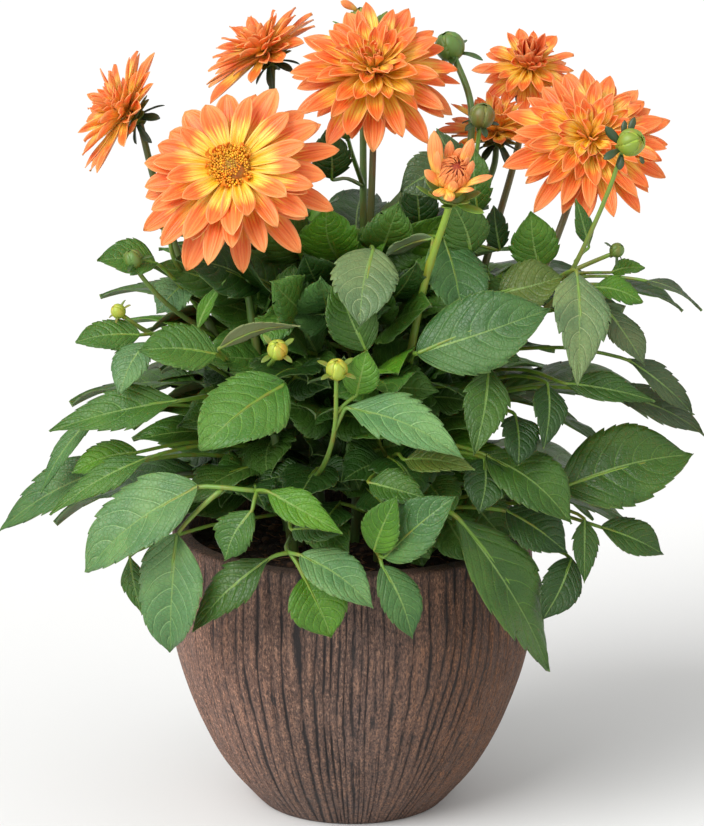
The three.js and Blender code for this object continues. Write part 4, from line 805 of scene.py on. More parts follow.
def layPetal(bag, sheet, f, origin, stud, outline, cup, tint, room=None, roll=0.0, sway=0.0, ripple=0.0, number=0.5):
    u, s = sheet["u"] ** 0.92, sheet["s"]
    rise, curl, length = stud["rise"], stud["curl"] if abs(stud["curl"]) > 1e-3 else 1e-3, stud["length"]
    out = spoke(f, stud["a"])
    across = f[1] * math.cos(stud["a"]) - f[0] * math.sin(stud["a"])
    angle = rise + curl * u
    r = stud["r"] - 1.2 + (length + 1.2) * (np.sin(angle) - math.sin(rise)) / curl
    h = stud["h"] - (length + 1.2) * (np.cos(angle) - math.cos(rise)) / curl
    half = stud["width"] / 2 * follow(outline, u)
    if room:
        half = np.minimum(half, np.maximum(r, 2) * room)
    x = s * half
    bowl = np.interp(u, [0, 0.5, 1], cup)
    crease = np.exp(-(((np.abs(s) - petalPlan["pleat"]) / 0.16) ** 2))
    crease = crease * np.interp(u, [0, 0.3, 0.85, 1], [0.2, 1, 0.8, 0])
    y = bowl * s * s * half - 0.085 * half * crease
    y = y + ripple * np.sin(5.5 * u + 9 * number) * (0.3 + s * np.cos(7 * number)) * u
    c, d = math.cos(roll), math.sin(roll)
    twist = np.clip(u * 1.6, 0, 1)
    x, y = x * (1 - twist * (1 - c)) - y * d * twist, x * d * twist + y
    up = np.outer(-np.sin(angle), out) + np.outer(np.cos(angle), f[2])
    at = vec(origin) + np.outer(r, out) + np.outer(h, f[2])
    at = at + np.outer(x + sway * length * u * u, across) + up * y[:, None]
    drop(bag, at, sheet["faces"], mapOf(u, s), tint)


bractSheet = gridSheet(8, 4)
wideSheet = gridSheet(16, 10)
thinSheet = gridSheet(11, 6)
outlines = dict(
    blunt=[(0, 0.45), (0.12, 0.56), (0.3, 0.77), (0.5, 0.96), (0.62, 1),
           (0.76, 0.92), (0.87, 0.71), (0.94, 0.44), (0.98, 0.2), (1, 0.04)],
    pointed=[(0, 0.46), (0.12, 0.58), (0.3, 0.80), (0.46, 0.95), (0.60, 1),
             (0.74, 0.91), (0.85, 0.70), (0.93, 0.41), (0.98, 0.16), (1, 0.03)],
)
bractOutline = [(0, 0.55), (0.3, 0.8), (0.6, 1), (0.85, 0.75), (1, 0.08)]
closedOutline = [(0, 0.5), (0.35, 1), (0.7, 0.85), (0.92, 0.4), (1, 0.08)]


def loosePetal(bag, base, tip, way, width, tone, bulge=0.12, cup=0.45):  # one petal from base to tip
    u, s = thinSheet["u"], thinSheet["s"]
    base, tip, way = vec(base), vec(tip), unit(vec(way))
    along = tip - base
    length = np.linalg.norm(along)
    side = unit(np.cross(along, way))
    up = unit(np.cross(side, along))
    half = width / 2 * follow(outlines["pointed"], u)
    lift = 4 * bulge * length * u * (1 - u) - cup * s * s * half
    at = base + np.outer(u, along) + np.outer(s * half, side) + np.outer(lift, up)
    drop(bag, at, thinSheet["faces"], mapOf(u, s), tone)


# pointed scales closed over a ball, from its foot (low) to its top (high)
def hugScales(bag, at, f, radius, count, layer, tints, low=0.12, high=0.97, ajar=0.0):
    u, s = bractSheet["u"], bractSheet["s"]
    for j in range(count):
        phi = 2 * math.pi * (j + 0.5 * layer) / count + 0.3 * draw(layer, j)
        a = math.pi * mix(low, high * (0.94 + 0.06 * draw(layer + 4, j)), u)
        half = math.pi / count * 1.25 * follow(closedOutline, u)
        swing = phi + s * half
        r = radius * (1.03 + 0.03 * layer + 0.035 * (1 - s * s) * np.sin(np.pi * u))
        r = r * (1 + ajar * (0.3 + 0.7 * draw(layer + 8, j)) * u ** 3)
        at3 = vec(at) + np.outer(r * np.sin(a) * np.cos(swing), f[0]) + np.outer(r * np.sin(a) * np.sin(swing), f[1])
        at3 = at3 - np.outer(r * np.cos(a) * 1.05, f[2])
        tint = tints(layer, j) if callable(tints) else tints
        drop(bag, at3, bractSheet["faces"], mapOf(u, s), tint)


def makeBud(stalks, blades, at, radius, axis, kind):
    f = facing(axis, 20)
    at = vec(at)
    big = radius > 7
    hue = budHues[kind]
    ballOf(stalks, at, f, radius * 0.97, hue * 0.9, 1.0)
    stripe = kind == "striped"
    for layer, light in enumerate((1.2, 0.75 if stripe else 0.85)):
        hugScales(blades, at, f, radius, 7 if stripe else 5, layer, hue * light)
    lines = [(0.35, -0.95), (0.88, -0.5)] if big else [(0.4, -0.9), (1, 0.1)]
    lines = [(r * radius, h * radius) for r, h in lines]
    long = 1.5 if big else 1.9
    sepal = (long * radius, 0.62 * radius, -2 if big else 14, -34)
    green = stalkHues["dark"] * 2.0 if big else mix(stalkHues["bract"], hue, 0.35)
    if kind == "green":
        green = stalkHues["bract"]
    for stud in studs(lines, [None if stripe else sepal], 10 if big else 8, 31 + int(radius * 10) % 7):
        stud["rise"] += math.radians(50 * (draw(31, stud["c"] + int(at[0])) - 0.4))
        stud["length"] *= 0.7 + 0.5 * draw(32, stud["c"] + int(at[0]))
        shade = 0.7 + 0.6 * draw(33, stud["c"])
        layPetal(blades, bractSheet, f, at, stud, bractOutline, (0.5, 0.3, 0.1), green * shade)
    rod(stalks, [at - f[2] * radius * 1.5, at - f[2] * radius * 0.9, at - f[2] * radius * 0.6],
        [1.5, 1.9 if not big else 2.4, radius * 0.5], 8, hue * 0.7)


stalkPlan = dict(  # heights of the foot, the ground and the first bend, then thickness in mm and shares
    foot=150, ground=187, seat=193, thick=3.5, thin=2.3, knuckle=0.22, branch=(2, 1.4), bract=0.5,
    cup=0.92, cupEnd=0.6,
)
stripedSepals = [  # on the striped bud: base, tip, the side it bulges to, width
    ((179, -67, 483), (168.5, -72, 495.5), (-0.5, -0.8, 0.3), 6.5),
    ((184.5, -64, 488), (188.5, -62, 500), (0, -0.9, 0.3), 4.5),
    ((181, -64, 487), (182, -62, 498), (0, -0.9, 0.3), 4),
    ((178, -68, 479), (167.5, -74, 473.5), (-0.3, -0.8, 0.5), 6),
    ((180, -66, 475), (178.5, -69, 465.5), (-0.3, -0.9, 0), 5.5),
    ((192, -72, 475), (194, -74, 470.5), (0.3, -0.9, 0), 3),
]


def makeCup(stalks, blades, bloom):  # the green cup under a bloom
    axis = unit(vec(bloom["axis"]))
    top = vec(bloom["at"]) - axis * 0.3
    radius = bloom["core"][0] * stalkPlan["cup"]
    f = facing(bloom["axis"], 10)
    small = bloom.get("green", False)
    hue = stalkHues["bud"] * (0.85 if small else 0.4)
    rod(stalks, [top + axis * h * radius for h in (-1.25, -0.95, -0.7, -0.45, -0.2, 0.0)],
        [2.0, 0.36 * radius, 0.62 * radius, 0.86 * radius, 0.98 * radius, 0.98 * radius], 14, hue)
    bract = (20, 8, 12, 24) if small else (16, 7, -30, -20)
    lines = [(0.34 * radius, -0.95 * radius), (radius, -0.3 * radius)]
    dark = stalkHues["petiole" if small else "dark"] * (0.9 if small else 1.2)
    for stud in studs(lines, [bract], 10, 7):
        stud["rise"] += math.radians(24 * (draw(5, stud["c"]) - 0.5))
        shade = 0.7 + 0.6 * draw(4, stud["c"])
        layPetal(blades, bractSheet, f, top, stud, bractOutline, (0.4, 0.3, 0.2), dark * shade,
                 roll=0.5 * (draw(3, stud["c"]) - 0.5))
    pale = stalkHues["bud"] * (0.8 if small else 0.45)
    for j in range(8):  # the papery inner bracts lie against the petals
        stud = dict(a=2 * math.pi * (j + 0.2) / 8, r=0.75 * radius, h=-0.35 * radius,
                    length=1.6 * radius, width=0.95 * radius,
                    rise=math.radians(34 if small else 4), curl=math.radians(10 if small else -6))
        layPetal(blades, bractSheet, f, top, stud, bractOutline, (0.3, 0.25, 0.1), pale)


plants = {}
for name, stem in stems.items():
    end = None
    for bloom in (b for b in blooms.values() if b["stem"] == name):
        reach = 0.3 + bloom["core"][0] * stalkPlan["cup"] * stalkPlan["cupEnd"]
        end = vec(bloom["at"]) - unit(vec(bloom["axis"])) * reach
    if "bud" in stem:
        end = vec(stem["bud"][0])
    x, y = stem["foot"]
    bendy = [vec(x, y, stalkPlan["seat"]), *[vec(p) for p in stem["path"]], *([end] if end is not None else [])]
    coarse = [vec(x, y, stalkPlan["foot"]), *smoothCurve(bendy, len(bendy) + 1)]
    fine = [vec(x, y, stalkPlan["foot"]), vec(x, y, 175), *smoothCurve(bendy, 44)]
    plants[name] = dict(coarse=coarse, fine=fine, stalks=newBag(), blades=newBag(), green=newBag(), roots=[])


# finding the leaves in the solids
def treeOf(nodeName):
    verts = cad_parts[nodeName].data.vertices
    tree = KDTree(len(verts))
    for i, v in enumerate(verts):
        tree.insert(v.co / mm, i)
    tree.balance()
    return tree


trees = {name: treeOf(name) for name in stems}


def tipShown(stem, tip, near=0.9):  # whether the solid has a corner at this tip
    return trees[stem].find(Vector(tip))[2] < near


def normalFor(tip):  # leaves of the full side face the front, others face up and outwards
    out = unit(vec(tip[0], tip[1], 0))
    return (out[0] * 0.45, -0.72, 0.66) if tip[1] < -40 else (out[0] * 0.55, out[1] * 0.55, 0.82)


def addLeaf(leaf, root, path, shape, tint, seed, lobeShapes=smallShapes):
    plant = plants[leaf["stem"]]
    layBlade(plant["blades"], leaf, shape, tint, seed)
    hue = mix(stalkHues["petiole"], np.array(tint), 0.25)
    thick = min(1.5, 0.75 + leaf["width"] / 75)
    layRib(plant["stalks"], leaf, [root, *path], hue, thick)
    plant["roots"].append(root)
    for s in (-1, 1) if leaf.get("lobes") else ():
        lobe = lobeOf(leaf, s, root)
        other = lobeShapes[int(draw(seed, s + 4) * 3)]
        layBlade(plant["blades"], lobe, other, tint * mix(0.85, 1.15, draw(seed, s + 8)), seed + s)
        layRib(plant["stalks"], lobe, None, hue, thick * 0.75)


def hang(leaf, under, shape, tint, seed, lobeShapes=smallShapes, least=200):  # from its stem, a little lower
    root = pointAtHeight(plants[leaf["stem"]]["coarse"], max(leaf["base"][2] - under, least))
    addLeaf(leaf, root, [], shape, tint, seed, lobeShapes)


found = 0
fullSide = [(stem, *row) for stem, rows in frontLeaves for row in rows]
for i, (stem, base, tip, width, origin, colour, *more) in enumerate(fullSide):
    extra = more[0] if more else {}
    leaf = {"stem": stem, "base": base, "tip": tip, "width": width, "bend": 0.09, "normal": normalFor(tip), **extra}
    for shift in shifts:
        tried = shifted(leaf, shift)
        if tipShown(stem, tried["tip"]):
            found += 1
            break
    else:
        tried, shift = leaf, (0, 0, 0)
    points = plants[stem]["coarse"]
    root = vec(origin) if isinstance(origin, tuple) else pointAtHeight(points, origin + shift[2])
    middle = mix(root, vec(base), 0.55) + vec(0, 0, 0.05 * np.linalg.norm(vec(base) - root))
    path = [vec(tried["via"])] if "via" in tried else [middle]
    tint = palette[colour] * (0.92 + 0.16 * draw(i, 2)) * extra.get("gain", 1)
    if stem == "stem_right" and colour != "pale":
        tint = tint * 0.87  # painted shade: leaves on this side are darker, as if turned away from the light
    size = np.linalg.norm(vec(tip) - vec(base))
    broad = width / size > leafPlan["broad"]
    if size > leafPlan["large"]:
        shape = largeShapes[2 * (i % 2) + (0 if broad else 1)]
    else:
        shape = smallShapes[(0, 2)[i % 2] if broad else 1]
    addLeaf(tried, root, path, shape, tint, i)
print("front leaves:", len(fullSide), "found in the solids:", found)


def bearerOf(base):  # the stem nearest to the foot of a leaf
    x, y, z = base[0] * 0.6, base[1] * 0.6, base[2]
    best, least = None, 1e9
    for name, plant in plants.items():
        top = plant["coarse"][-1][2]
        p = pointAtHeight(plant["coarse"], min(z, top - 30))
        d = math.hypot(p[0] - x, p[1] - y) + (60 if top < z + 10 else 0)
        if d < least:
            best, least = name, d
    return best


# where a leaf of a level starts, how far it reaches and which stem bears it
def placeOf(angle, seed, i, hub, tip, turn, least, more, fall):
    a = math.radians(angle + turn * (draw(seed, i) - 0.5))
    grow = least + more * draw(seed, i + 20)
    dropBy = fall * (draw(seed, i + 40) - 0.5)
    c, s = math.cos(a), math.sin(a)
    base = vec(hub[0] * c, hub[0] * s, hub[1] + dropBy)
    return base, c, s, grow, mix(hub[0], tip[0], grow), tip[1] + dropBy, bearerOf(base)


found, spare = 0, []
for first, step, count, hub, tip, width, seed, lobes, face in leafLevels:
    for i in range(count):
        base, c, s, grow, r, z, stem = placeOf(first + step * i, seed, i, hub, tip, 10, 0.9, 0.25, 16)
        leaf = dict(stem=stem, base=base, tip=vec(r * c, r * s, z), width=width * grow, bend=0.1,
                    normal=((1.3 - face) * c, (1.3 - face) * s, face), lobes=lobes)
        hue = ("green", "olive", "bluish", "olive", "fresh")[int(draw(seed, i + 60) * 5)]
        tint = palette[hue] * (0.86 + 0.25 * draw(seed, i + 70))
        for shift in shifts:
            tried = shifted(leaf, shift)
            if tipShown(stem, tried["tip"]):
                found += 1
                root = pointAtHeight(plants[stem]["coarse"], max(base[2] - 24, 200) + shift[2])
                if not tipShown(stem, lobeOf(tried, 1, root)["tip"], 2.5):
                    tried["lobes"] = None
                addLeaf(tried, root, [], largeShapes[(i + seed) % 4], tint, 100 + 10 * seed + i)
                break
        else:
            spare.append(leaf)
print("compound leaves found in the solids:", found, "not there:", len(spare))

# smaller leaves inside the canopy: first angle, step, count, hub, tip, width, face
innerLevels = [
    (10, 36, 10, (66, 226), (136, 208), 48, 0.80), (-4, 36, 10, (62, 254), (148, 254), 50, 0.80),
    (14, 34, 10, (58, 284), (152, 294), 52, 0.76), (0, 36, 10, (54, 314), (150, 332), 52, 0.74),
    (18, 36, 10, (48, 342), (142, 370), 50, 0.70), (4, 40, 9, (42, 368), (120, 402), 46, 0.66),
    (24, 45, 8, (34, 388), (86, 430), 42, 0.60), (0, 60, 6, (24, 250), (84, 262), 46, 0.60),
    (30, 60, 6, (24, 310), (84, 332), 46, 0.55), (168, 24, 4, (74, 366), (150, 392), 40, 0.66),
    (-30, 22, 4, (84, 352), (158, 372), 40, 0.66),
]
for row, (first, step, count, hub, tip, width, face) in enumerate(innerLevels):
    for i in range(count):
        seed = 40 + row
        base, c, s, grow, r, z, stem = placeOf(first + step * i, seed, i, hub, tip, 16, 0.82, 0.32, 26)
        r = r * (1 - 0.28 * max(0, -s))  # behind the leaves of the full side
        if s < -0.2 and c < 0.35 and row < (2 if s < -0.6 else 1):
            continue  # the soil stays in sight at the front
        normal = ((1.3 - face) * c, (1.3 - face) * s - (0.4 if s < 0 else 0), face)
        leaf = dict(stem=stem, base=base, tip=vec(r * c, r * s, z), width=width * grow, bend=0.1,
                    normal=normal, lobes=0.72 if draw(seed, i + 50) > 0.3 else None)
        hue = ("green", "deep", "olive", "olive", "fresh")[int(draw(seed, i + 60) * 5)]
        tint = palette[hue] * (0.95 + 0.44 * draw(seed, i + 70))
        hang(leaf, 20, innerShapes[i % 3], tint, 300 + 20 * row + i, innerShapes)
rimLeaves = [  # in the shade behind the leaves that hang over the rim: base, tip, width
    ((-30, -84, 226), (-2, -120, 214), 34), ((-8, -88, 240), (-26, -128, 224), 32),
    ((34, -86, 232), (52, -124, 212), 36), ((64, -80, 228), (84, -112, 204), 34),
    ((10, -90, 250), (30, -130, 236), 34), ((80, -70, 240), (106, -96, 214), 36),
    ((50, -92, 256), (66, -130, 240), 34), ((-66, -84, 252), (-58, -124, 246), 30),
]
for i, (base, tip, width) in enumerate(rimLeaves):
    leaf = dict(stem=bearerOf(base), base=base, tip=tip, width=width, bend=0.1,
                normal=(0, -0.72, 0.66))
    tint = palette[("green", "deep", "olive")[i % 3]] * (0.85 + 0.3 * draw(61, i))
    hang(leaf, 22, smallShapes[i % 3], tint, 700 + i, least=198)
behindBloom = [  # behind the half-open bloom: base, tip, width, colour
    ((66, -36, 464), (33, -44, 446), 31, "greyed"), ((80, -30, 454), (57, -36, 488), 24, "greyed"),
    ((86, -30, 429), (83, -34, 474), 27, "olive"),
]
for i, (base, tip, width, hue) in enumerate(behindBloom):
    leaf = dict(stem="stem_bud", base=base, tip=tip, width=width, bend=0.1, normal=(-0.2, -1, 0.2))
    hang(leaf, 20, smallShapes[i], palette[hue], 720 + i)
for i, leaf in enumerate(spare):
    hang(leaf, 24, innerShapes[i % 3], palette["deep"] * (0.85 + 0.3 * draw(7, i)), 600 + i, innerShapes)
print("inner leaves laid")

for name, stem in stems.items():
    plant = plants[name]
    fine = plant["fine"]
    low, high = (stalkHues[h] for h in stem.get("hue", ("green", "green")))
    ground, radii = stalkPlan["ground"], []
    for p in fine:  # thinner upwards, with a knuckle where each leaf leaves
        share = max(0, (p[2] - ground) / (fine[-1][2] - ground))
        near = min([abs(p[2] - r[2]) + 0.4 * math.hypot(p[0] - r[0], p[1] - r[1]) for r in plant["roots"]] + [99])
        knuckle = 1 + stalkPlan["knuckle"] * math.exp(-(near / 4) ** 2)
        radii.append(mix(stalkPlan["thick"], stalkPlan["thin"], share) * knuckle)
    rod(plant["stalks"], fine, radii, 10, np.array([low, high]))
    for height, path, at, radius, axis, kind in stem.get("branches", ()):
        root = pointAtHeight(plant["coarse"], height)
        way = smoothCurve([root, *path, vec(at) - unit(vec(axis)) * radius * 0.7], 16)
        rod(plant["stalks"], way, [mix(*stalkPlan["branch"], i / 16) for i in range(17)], 8,
            np.array([high, stalkHues["petiole"]]))
        makeBud(plant["stalks"], plant["green"], at, radius, axis, kind)
    if "bud" in stem:
        makeBud(plant["stalks"], plant["green"], *stem["bud"])
for base, tip, way, width in stripedSepals:
    loosePetal(plants["stem_right"]["green"], base, tip, way, width, stalkHues["dark"] * 1.8, 0.1, 0.3)
for bloom in blooms.values():
    plant = plants[bloom["stem"]]
    makeCup(plant["stalks"], plant["green"], bloom)

for name, plant in plants.items():
    short = name.replace("stem_", "")
    makePiece("stalks_" + short, plant["stalks"], ["stalk"], [name])
    if plant["blades"]["count"]:
        makePiece("leaves_" + short, plant["blades"], ["leafTop", "leafUnder"], [name],
                  wall=leafPlan["thickness"])
    if plant["green"]["count"]:
        makePiece("bracts_" + short, plant["green"], ["stalk"], [name], wall=stalkPlan["bract"])
print("leafy stems made:", len(plants))


# blooms
# petals laid one by one where a bloom folds or opens in its own way: base, tip, the side it bulges to, width, tone
loose = dict(
    bloom_opening=[
        ((57, -97, 464), (54, -98, 497), (-0.3, -0.9, 0.2), 11, (0.75, 0.1, 0.0)),
        ((57, -104, 469), (56, -106, 485), (-0.3, -0.9, 0.2), 5, (0.4, 0.3, 0.2)),
        ((63, -92, 473), (65, -90, 489), (0.1, -0.9, 0.2), 6.5, (0.5, 0.5, 0.15)),
        ((66, -92, 476), (73, -92, 484), (0.2, -0.9, 0.3), 6, (0.3, 0.9, 0.1)),
        ((71, -94, 470), (79.5, -94, 491), (0.3, -0.9, 0.1), 8.5, (0.7, 0.7, 0.0)),
        ((75, -100, 465), (79.5, -103, 478), (0.5, -0.8, 0.2), 6, (0.2, 0.2, 0.5)),
        ((73, -98, 470), (76.5, -100, 480), (0.5, -0.8, 0.2), 4.5, (0.2, 0.4, 0.5)),
        ((73, -100, 460), (92.5, -108, 468.5), (0.1, -0.6, 0.8), 7, (0.9, 0.6, 0.0)),
        ((68, -102, 457), (80, -112, 460), (0.1, -0.6, 0.8), 6, (1.3, 0.8, 0.0)),
        ((61, -101, 459), (54.5, -112, 456), (-0.2, -0.7, 0.7), 8, (1.3, 0.15, 0.0)),
        ((62, -102, 459), (65, -112, 452.5), (0, -0.7, 0.7), 8, (1.3, 0.35, 0.0)),
        ((58, -99, 461), (47.5, -106, 472), (-0.3, -0.7, 0.6), 7, (0.6, 0.55, 0.0)),
        ((64, -105, 457), (68, -109.5, 465), (0, -0.9, 0.2), 6.5, (0.9, 0.75, 0.0)),
    ],
    bloom_top_bud=[((3, 80, 553), (-8, 76, 559), (-0.3, -0.8, 0.5), 6, (0.55, 0.3, 0.1))],
    bloom_left=[((-146, -22, 492), (-150, -36, 484), (-0.8, -0.4, 0.4), 8, (0.6, 0.4, 0.2))],
)


def petalTone(bloom, seed, inner=0.0):  # the yellow reaches farther on the inner petals
    glow = bloom["glow"] + inner * bloom.get("deeper", 0.3) + bloom.get("vary", 0.5) * (draw(seed, 7) - 0.5)
    return glow, draw(seed, 8), max(0, bloom["red"] + 0.2 * (draw(seed, 9) - 0.6))


def scaleTone(layer, j):  # of the scales on the half-open bloom
    return mix(0.95, 1.3, draw(layer, j + 30)), draw(layer, j + 31), 0.25 * draw(layer, j + 32)


for number, (name, bloom) in enumerate(blooms.items(), 1):
    f = facing(bloom["axis"], bloom["spin"])
    coreRadius, coreHeight, coreTop = bloom["core"]
    rings = bloom["rings"]
    lines = []
    for k in range(len(rings) + 1):
        share = k / len(rings)
        waist = mix(1, coreTop, share) if coreTop else (max(math.cos(0.86 * share * math.pi / 2), 0.2) if k else 0.96)
        lines.append((coreRadius * waist, coreHeight * math.sin(share * math.pi / 2)))
    bag = newBag()
    sheet = wideSheet if bloom["count"] >= 10 else thinSheet
    room = petalPlan["room"] * math.tan(math.pi / bloom["count"])
    blunt = name == "bloom_front"
    outline = "blunt" if blunt else "pointed"
    for odd in (False, True) if not bloom.get("green") else ():
        for stud in studs(lines, rings, 2 * bloom["count"], number * 100, odd):
            seed = number * 100 + 7 * stud["k"] + stud["c"] * 3
            out = spoke(f, stud["a"])
            stud["length"] *= 1 - max(0, out.dot(vec(bloom.get("pull", (0, 0, 0)))))
            if odd:
                low = out[2] < 0.1  # more petals lie over one another low down
                if draw(seed, 1) > (bloom["between"] if not blunt else (0.95, 0.8 * low, 0.45 * low, 0)[stud["k"]]):
                    continue
                stud["length"] *= 0.84 + 0.1 * draw(seed, 2)
                stud["width"] *= 0.86
                stud["rise"] += math.radians(8)
                stud["h"] += 0.4
            elif blunt and stud["k"] == 3 and (out[2] > 0.1 or draw(seed, 21) > 0.75):
                continue
            inner = stud["k"] / (len(rings) - 1)
            loosely = bloom.get("loose", 1.0) * (0.6 + 0.8 * inner)
            roll = petalPlan["roll"] * loosely * (draw(seed, 3) - 0.5)
            sway = petalPlan["sway"] * loosely * (draw(seed, 4) - 0.5)
            stud["width"] *= petalPlan["narrow"][outline] * (0.86 + 0.30 * draw(seed, 6))
            stud["length"] *= 0.94 + 0.14 * draw(seed, 11) - 0.18 * inner * draw(seed, 13) * loosely
            stud["rise"] += math.radians(9 * (draw(seed, 12) - 0.5) + 16 * inner * loosely * (draw(seed, 14) - 0.5))
            least, more = petalPlan["fold"][outline]
            cup = [c * (least + more * draw(seed, 15)) for c in petalPlan["cup"]]
            layPetal(bag, sheet, f, bloom["at"], stud, outlines[outline], cup,
                     petalTone(bloom, seed, inner), room, roll, sway, petalPlan["ripple"], draw(seed, 5))
    if bloom["heart"]:  # folded petals standing in the middle
        count, length, width, low, high = bloom["heart"]
        for j in range(count):
            seed = number * 100 + 400 + j
            share = math.sqrt((j + 0.5) / count)
            dome = 0.86 * math.pi / 2 * (1 - 0.55 * share)
            stud = dict(a=goldenTurn * j, r=coreRadius * 0.62 * share + 1.2,
                        h=coreHeight * (0.3 + 0.68 * math.sin(dome)),
                        length=length * (0.75 + 0.5 * draw(seed, 2)), width=width * (0.8 + 0.4 * draw(seed, 3)),
                        rise=math.radians(mix(high, low, share) + 14 * (draw(seed, 4) - 0.5)),
                        curl=math.radians(24 * (draw(seed, 5) - 0.3)))
            glow, which, dark = petalTone(bloom, seed)
            layPetal(bag, thinSheet, f, bloom["at"], stud, outlines["pointed"], (1.0, 0.8, 0.5),
                     (glow + bloom.get("inner", 0.0), which, dark + bloom.get("ember", 0.0)),
                     None, 1.2 * (draw(seed, 6) - 0.5), 0.3 * (draw(seed, 7) - 0.5), 0.4, draw(seed, 8))
    if "ball" in bloom:  # narrow petals folded over one another round a dark eye
        middle, across, way = bloom["ball"]
        for layer in (0, 1, 2):
            hugScales(bag, middle, facing(way, 10), across * (0.90 + 0.03 * layer), 13, layer, scaleTone,
                      0.03, 0.95 - 0.07 * layer, 0.06)
    for base, tip, way, width, tone in loose.get(name, ()):
        loosePetal(bag, base, tip, way, width, tone)
    piece = makePiece(name.replace("bloom", "petals"), bag, ["petalTop", "petalUnder"], [name],
                      wall=petalPlan["thickness"])
    heart = newBag()
    hue = bloom.get("eye", (0.60, 0.30, 0.02))
    if "ball" in bloom:
        ballOf(heart, vec(middle), facing(way, 0), across * 0.88, hue, 1.0, 10, 18)
        ballOf(heart, mix(vec(bloom["at"]), vec(middle), 0.4), f, across * 0.82, (0.40, 0.40, 0.04), 1.0, 8, 16)
    else:
        ballOf(heart, vec(bloom["at"]) + f[2] * coreHeight * 0.4, f, coreRadius * (0.9 if coreTop else 0.8), hue,
               0.62 * coreHeight / coreRadius, 8, 16)
    if name == "bloom_top_bud":
        for layer in (0, 1):
            hugScales(heart, vec(bloom["at"]) + f[2] * coreHeight * 0.45, f, coreRadius * 0.95, 6, layer,
                      budHues["green"] * (1.3 if layer else 1.0), 0.2)
    if name == "bloom_top":
        top = vec(bloom["at"]) + f[2] * (coreHeight + 1.5)
        for layer in (0, 1):
            hugScales(heart, top, f, 4.4, 6, layer, (0.42, 0.30, 0.02) if layer else (0.50, 0.20, 0.02))
        ballOf(heart, top, f, 4.4, (0.42, 0.30, 0.02), 0.9, 8, 12)
    makePiece(name.replace("bloom", "heart"), heart, ["floret"], [name])
print("blooms made:", len(blooms))

# the button of florets in the open bloom
discPlan = dict(
    count=340, radius=13.8, rise=6.0, length=4.6, width=0.78, unripe=(0.60, 0.42, 0.03),
    ripe=[(0.98, 0.58, 0.03), (0.95, 0.36, 0.015), (0.88, 0.48, 0.03)],
    curled=[150, 118, 95, 176, 205, 60, 132, 250, 320],  # degrees round the disc
)
bloom = blooms["bloom_front"]
f = facing(bloom["axis"], bloom["spin"])
bag = newBag()
seat = vec(bloom["at"]) + f[2] * (bloom["core"][1] + 0.3)
ballOf(bag, seat, f, discPlan["radius"] * 0.92, (0.34, 0.15, 0.01), 0.45, 8, 24)
for i in range(discPlan["count"]):
    share = math.sqrt((i + 0.5) / discPlan["count"])
    a = goldenTurn * i
    r = discPlan["radius"] * share * 0.94
    out = spoke(f, a)
    at = seat + out * r + f[2] * discPlan["rise"] * 0.62 * math.sqrt(max(0, 1 - share ** 2.6))
    lean = unit(f[2] + out * 0.55 * share + 0.3 * (f[0] * (draw(i, 1) - 0.5) + f[1] * (draw(i, 2) - 0.5)))
    gap = noise.noise(Vector((at[0] / 4, at[1] / 4, at[2] / 4))) * 2 + out[0] * 0.5 - out[2] * 0.4
    if share > 0.45 and gap > 0.74:
        continue  # a few dark gaps at the lower right
    tall = discPlan["length"] * (0.55 + 0.6 * share) * (0.7 + 0.6 * draw(i, 3))
    wide = discPlan["width"] * (0.75 + 0.35 * share)
    ripe = discPlan["ripe"][int(draw(i, 5) * 3)] if share > 0.26 else discPlan["unripe"]
    tint = np.array(ripe) * (0.7 + 0.5 * draw(i, 4))
    rod(bag, [at - lean * 1.2, at + lean * tall * 0.6, at + lean * tall * 0.85, at + lean * tall],
        [wide * 0.55, wide * 0.7, wide, wide * 0.35], 6, tint)
for j, turn in enumerate(discPlan["curled"]):  # curled petals among the outer florets, most at the upper left
    way = spoke(f, math.radians(turn))
    base = seat + way * (8 + 2 * draw(j, 44)) + f[2] * 2.5
    tip = base + way * (3 + 4 * draw(j, 45)) + f[2] * (6 + 4 * draw(j, 46))
    tip = tip + np.cross(way, f[2]) * 9 * (draw(j, 47) - 0.5)
    loosePetal(bag, base, tip, way, 4.2, (0.92, 0.24 + 0.14 * draw(j, 48), 0.03), 0.45, -0.9)
makePiece("florets_front", bag, ["floret"], ["disc_front"])
print("floret button made")


# planter
potPlan = dict(
    columns=1100, rows=50, holes=4, hole=4.5, holeCircle=40, depth=1.8, pitch=5.0, arcRadius=112,
    wall=[(3, 69), (30, 91), (68, 110.5), (125, 127), (198, 126.5)],  # height and radius
    foot=[(60, 0, 0), (65.2, 0, 0), (66.6, 0.9, 0.3), (68.6, 3, 0.8)],  # radius, height, share of the relief
    rim=[(126.4, 197.2, 0.9), (125.9, 198.9, 0.6), (124.8, 199.7, 0.35), (123, 200, 0.2), (116, 200, 0.2),
         (114.9, 199.6, 0.1), (114.2, 198.4, 0)],
    inside=[(114.6, 190, 0), (117, 150, 0), (96, 60, 0), (64, 11, 0), (60, 9, 0)],
)


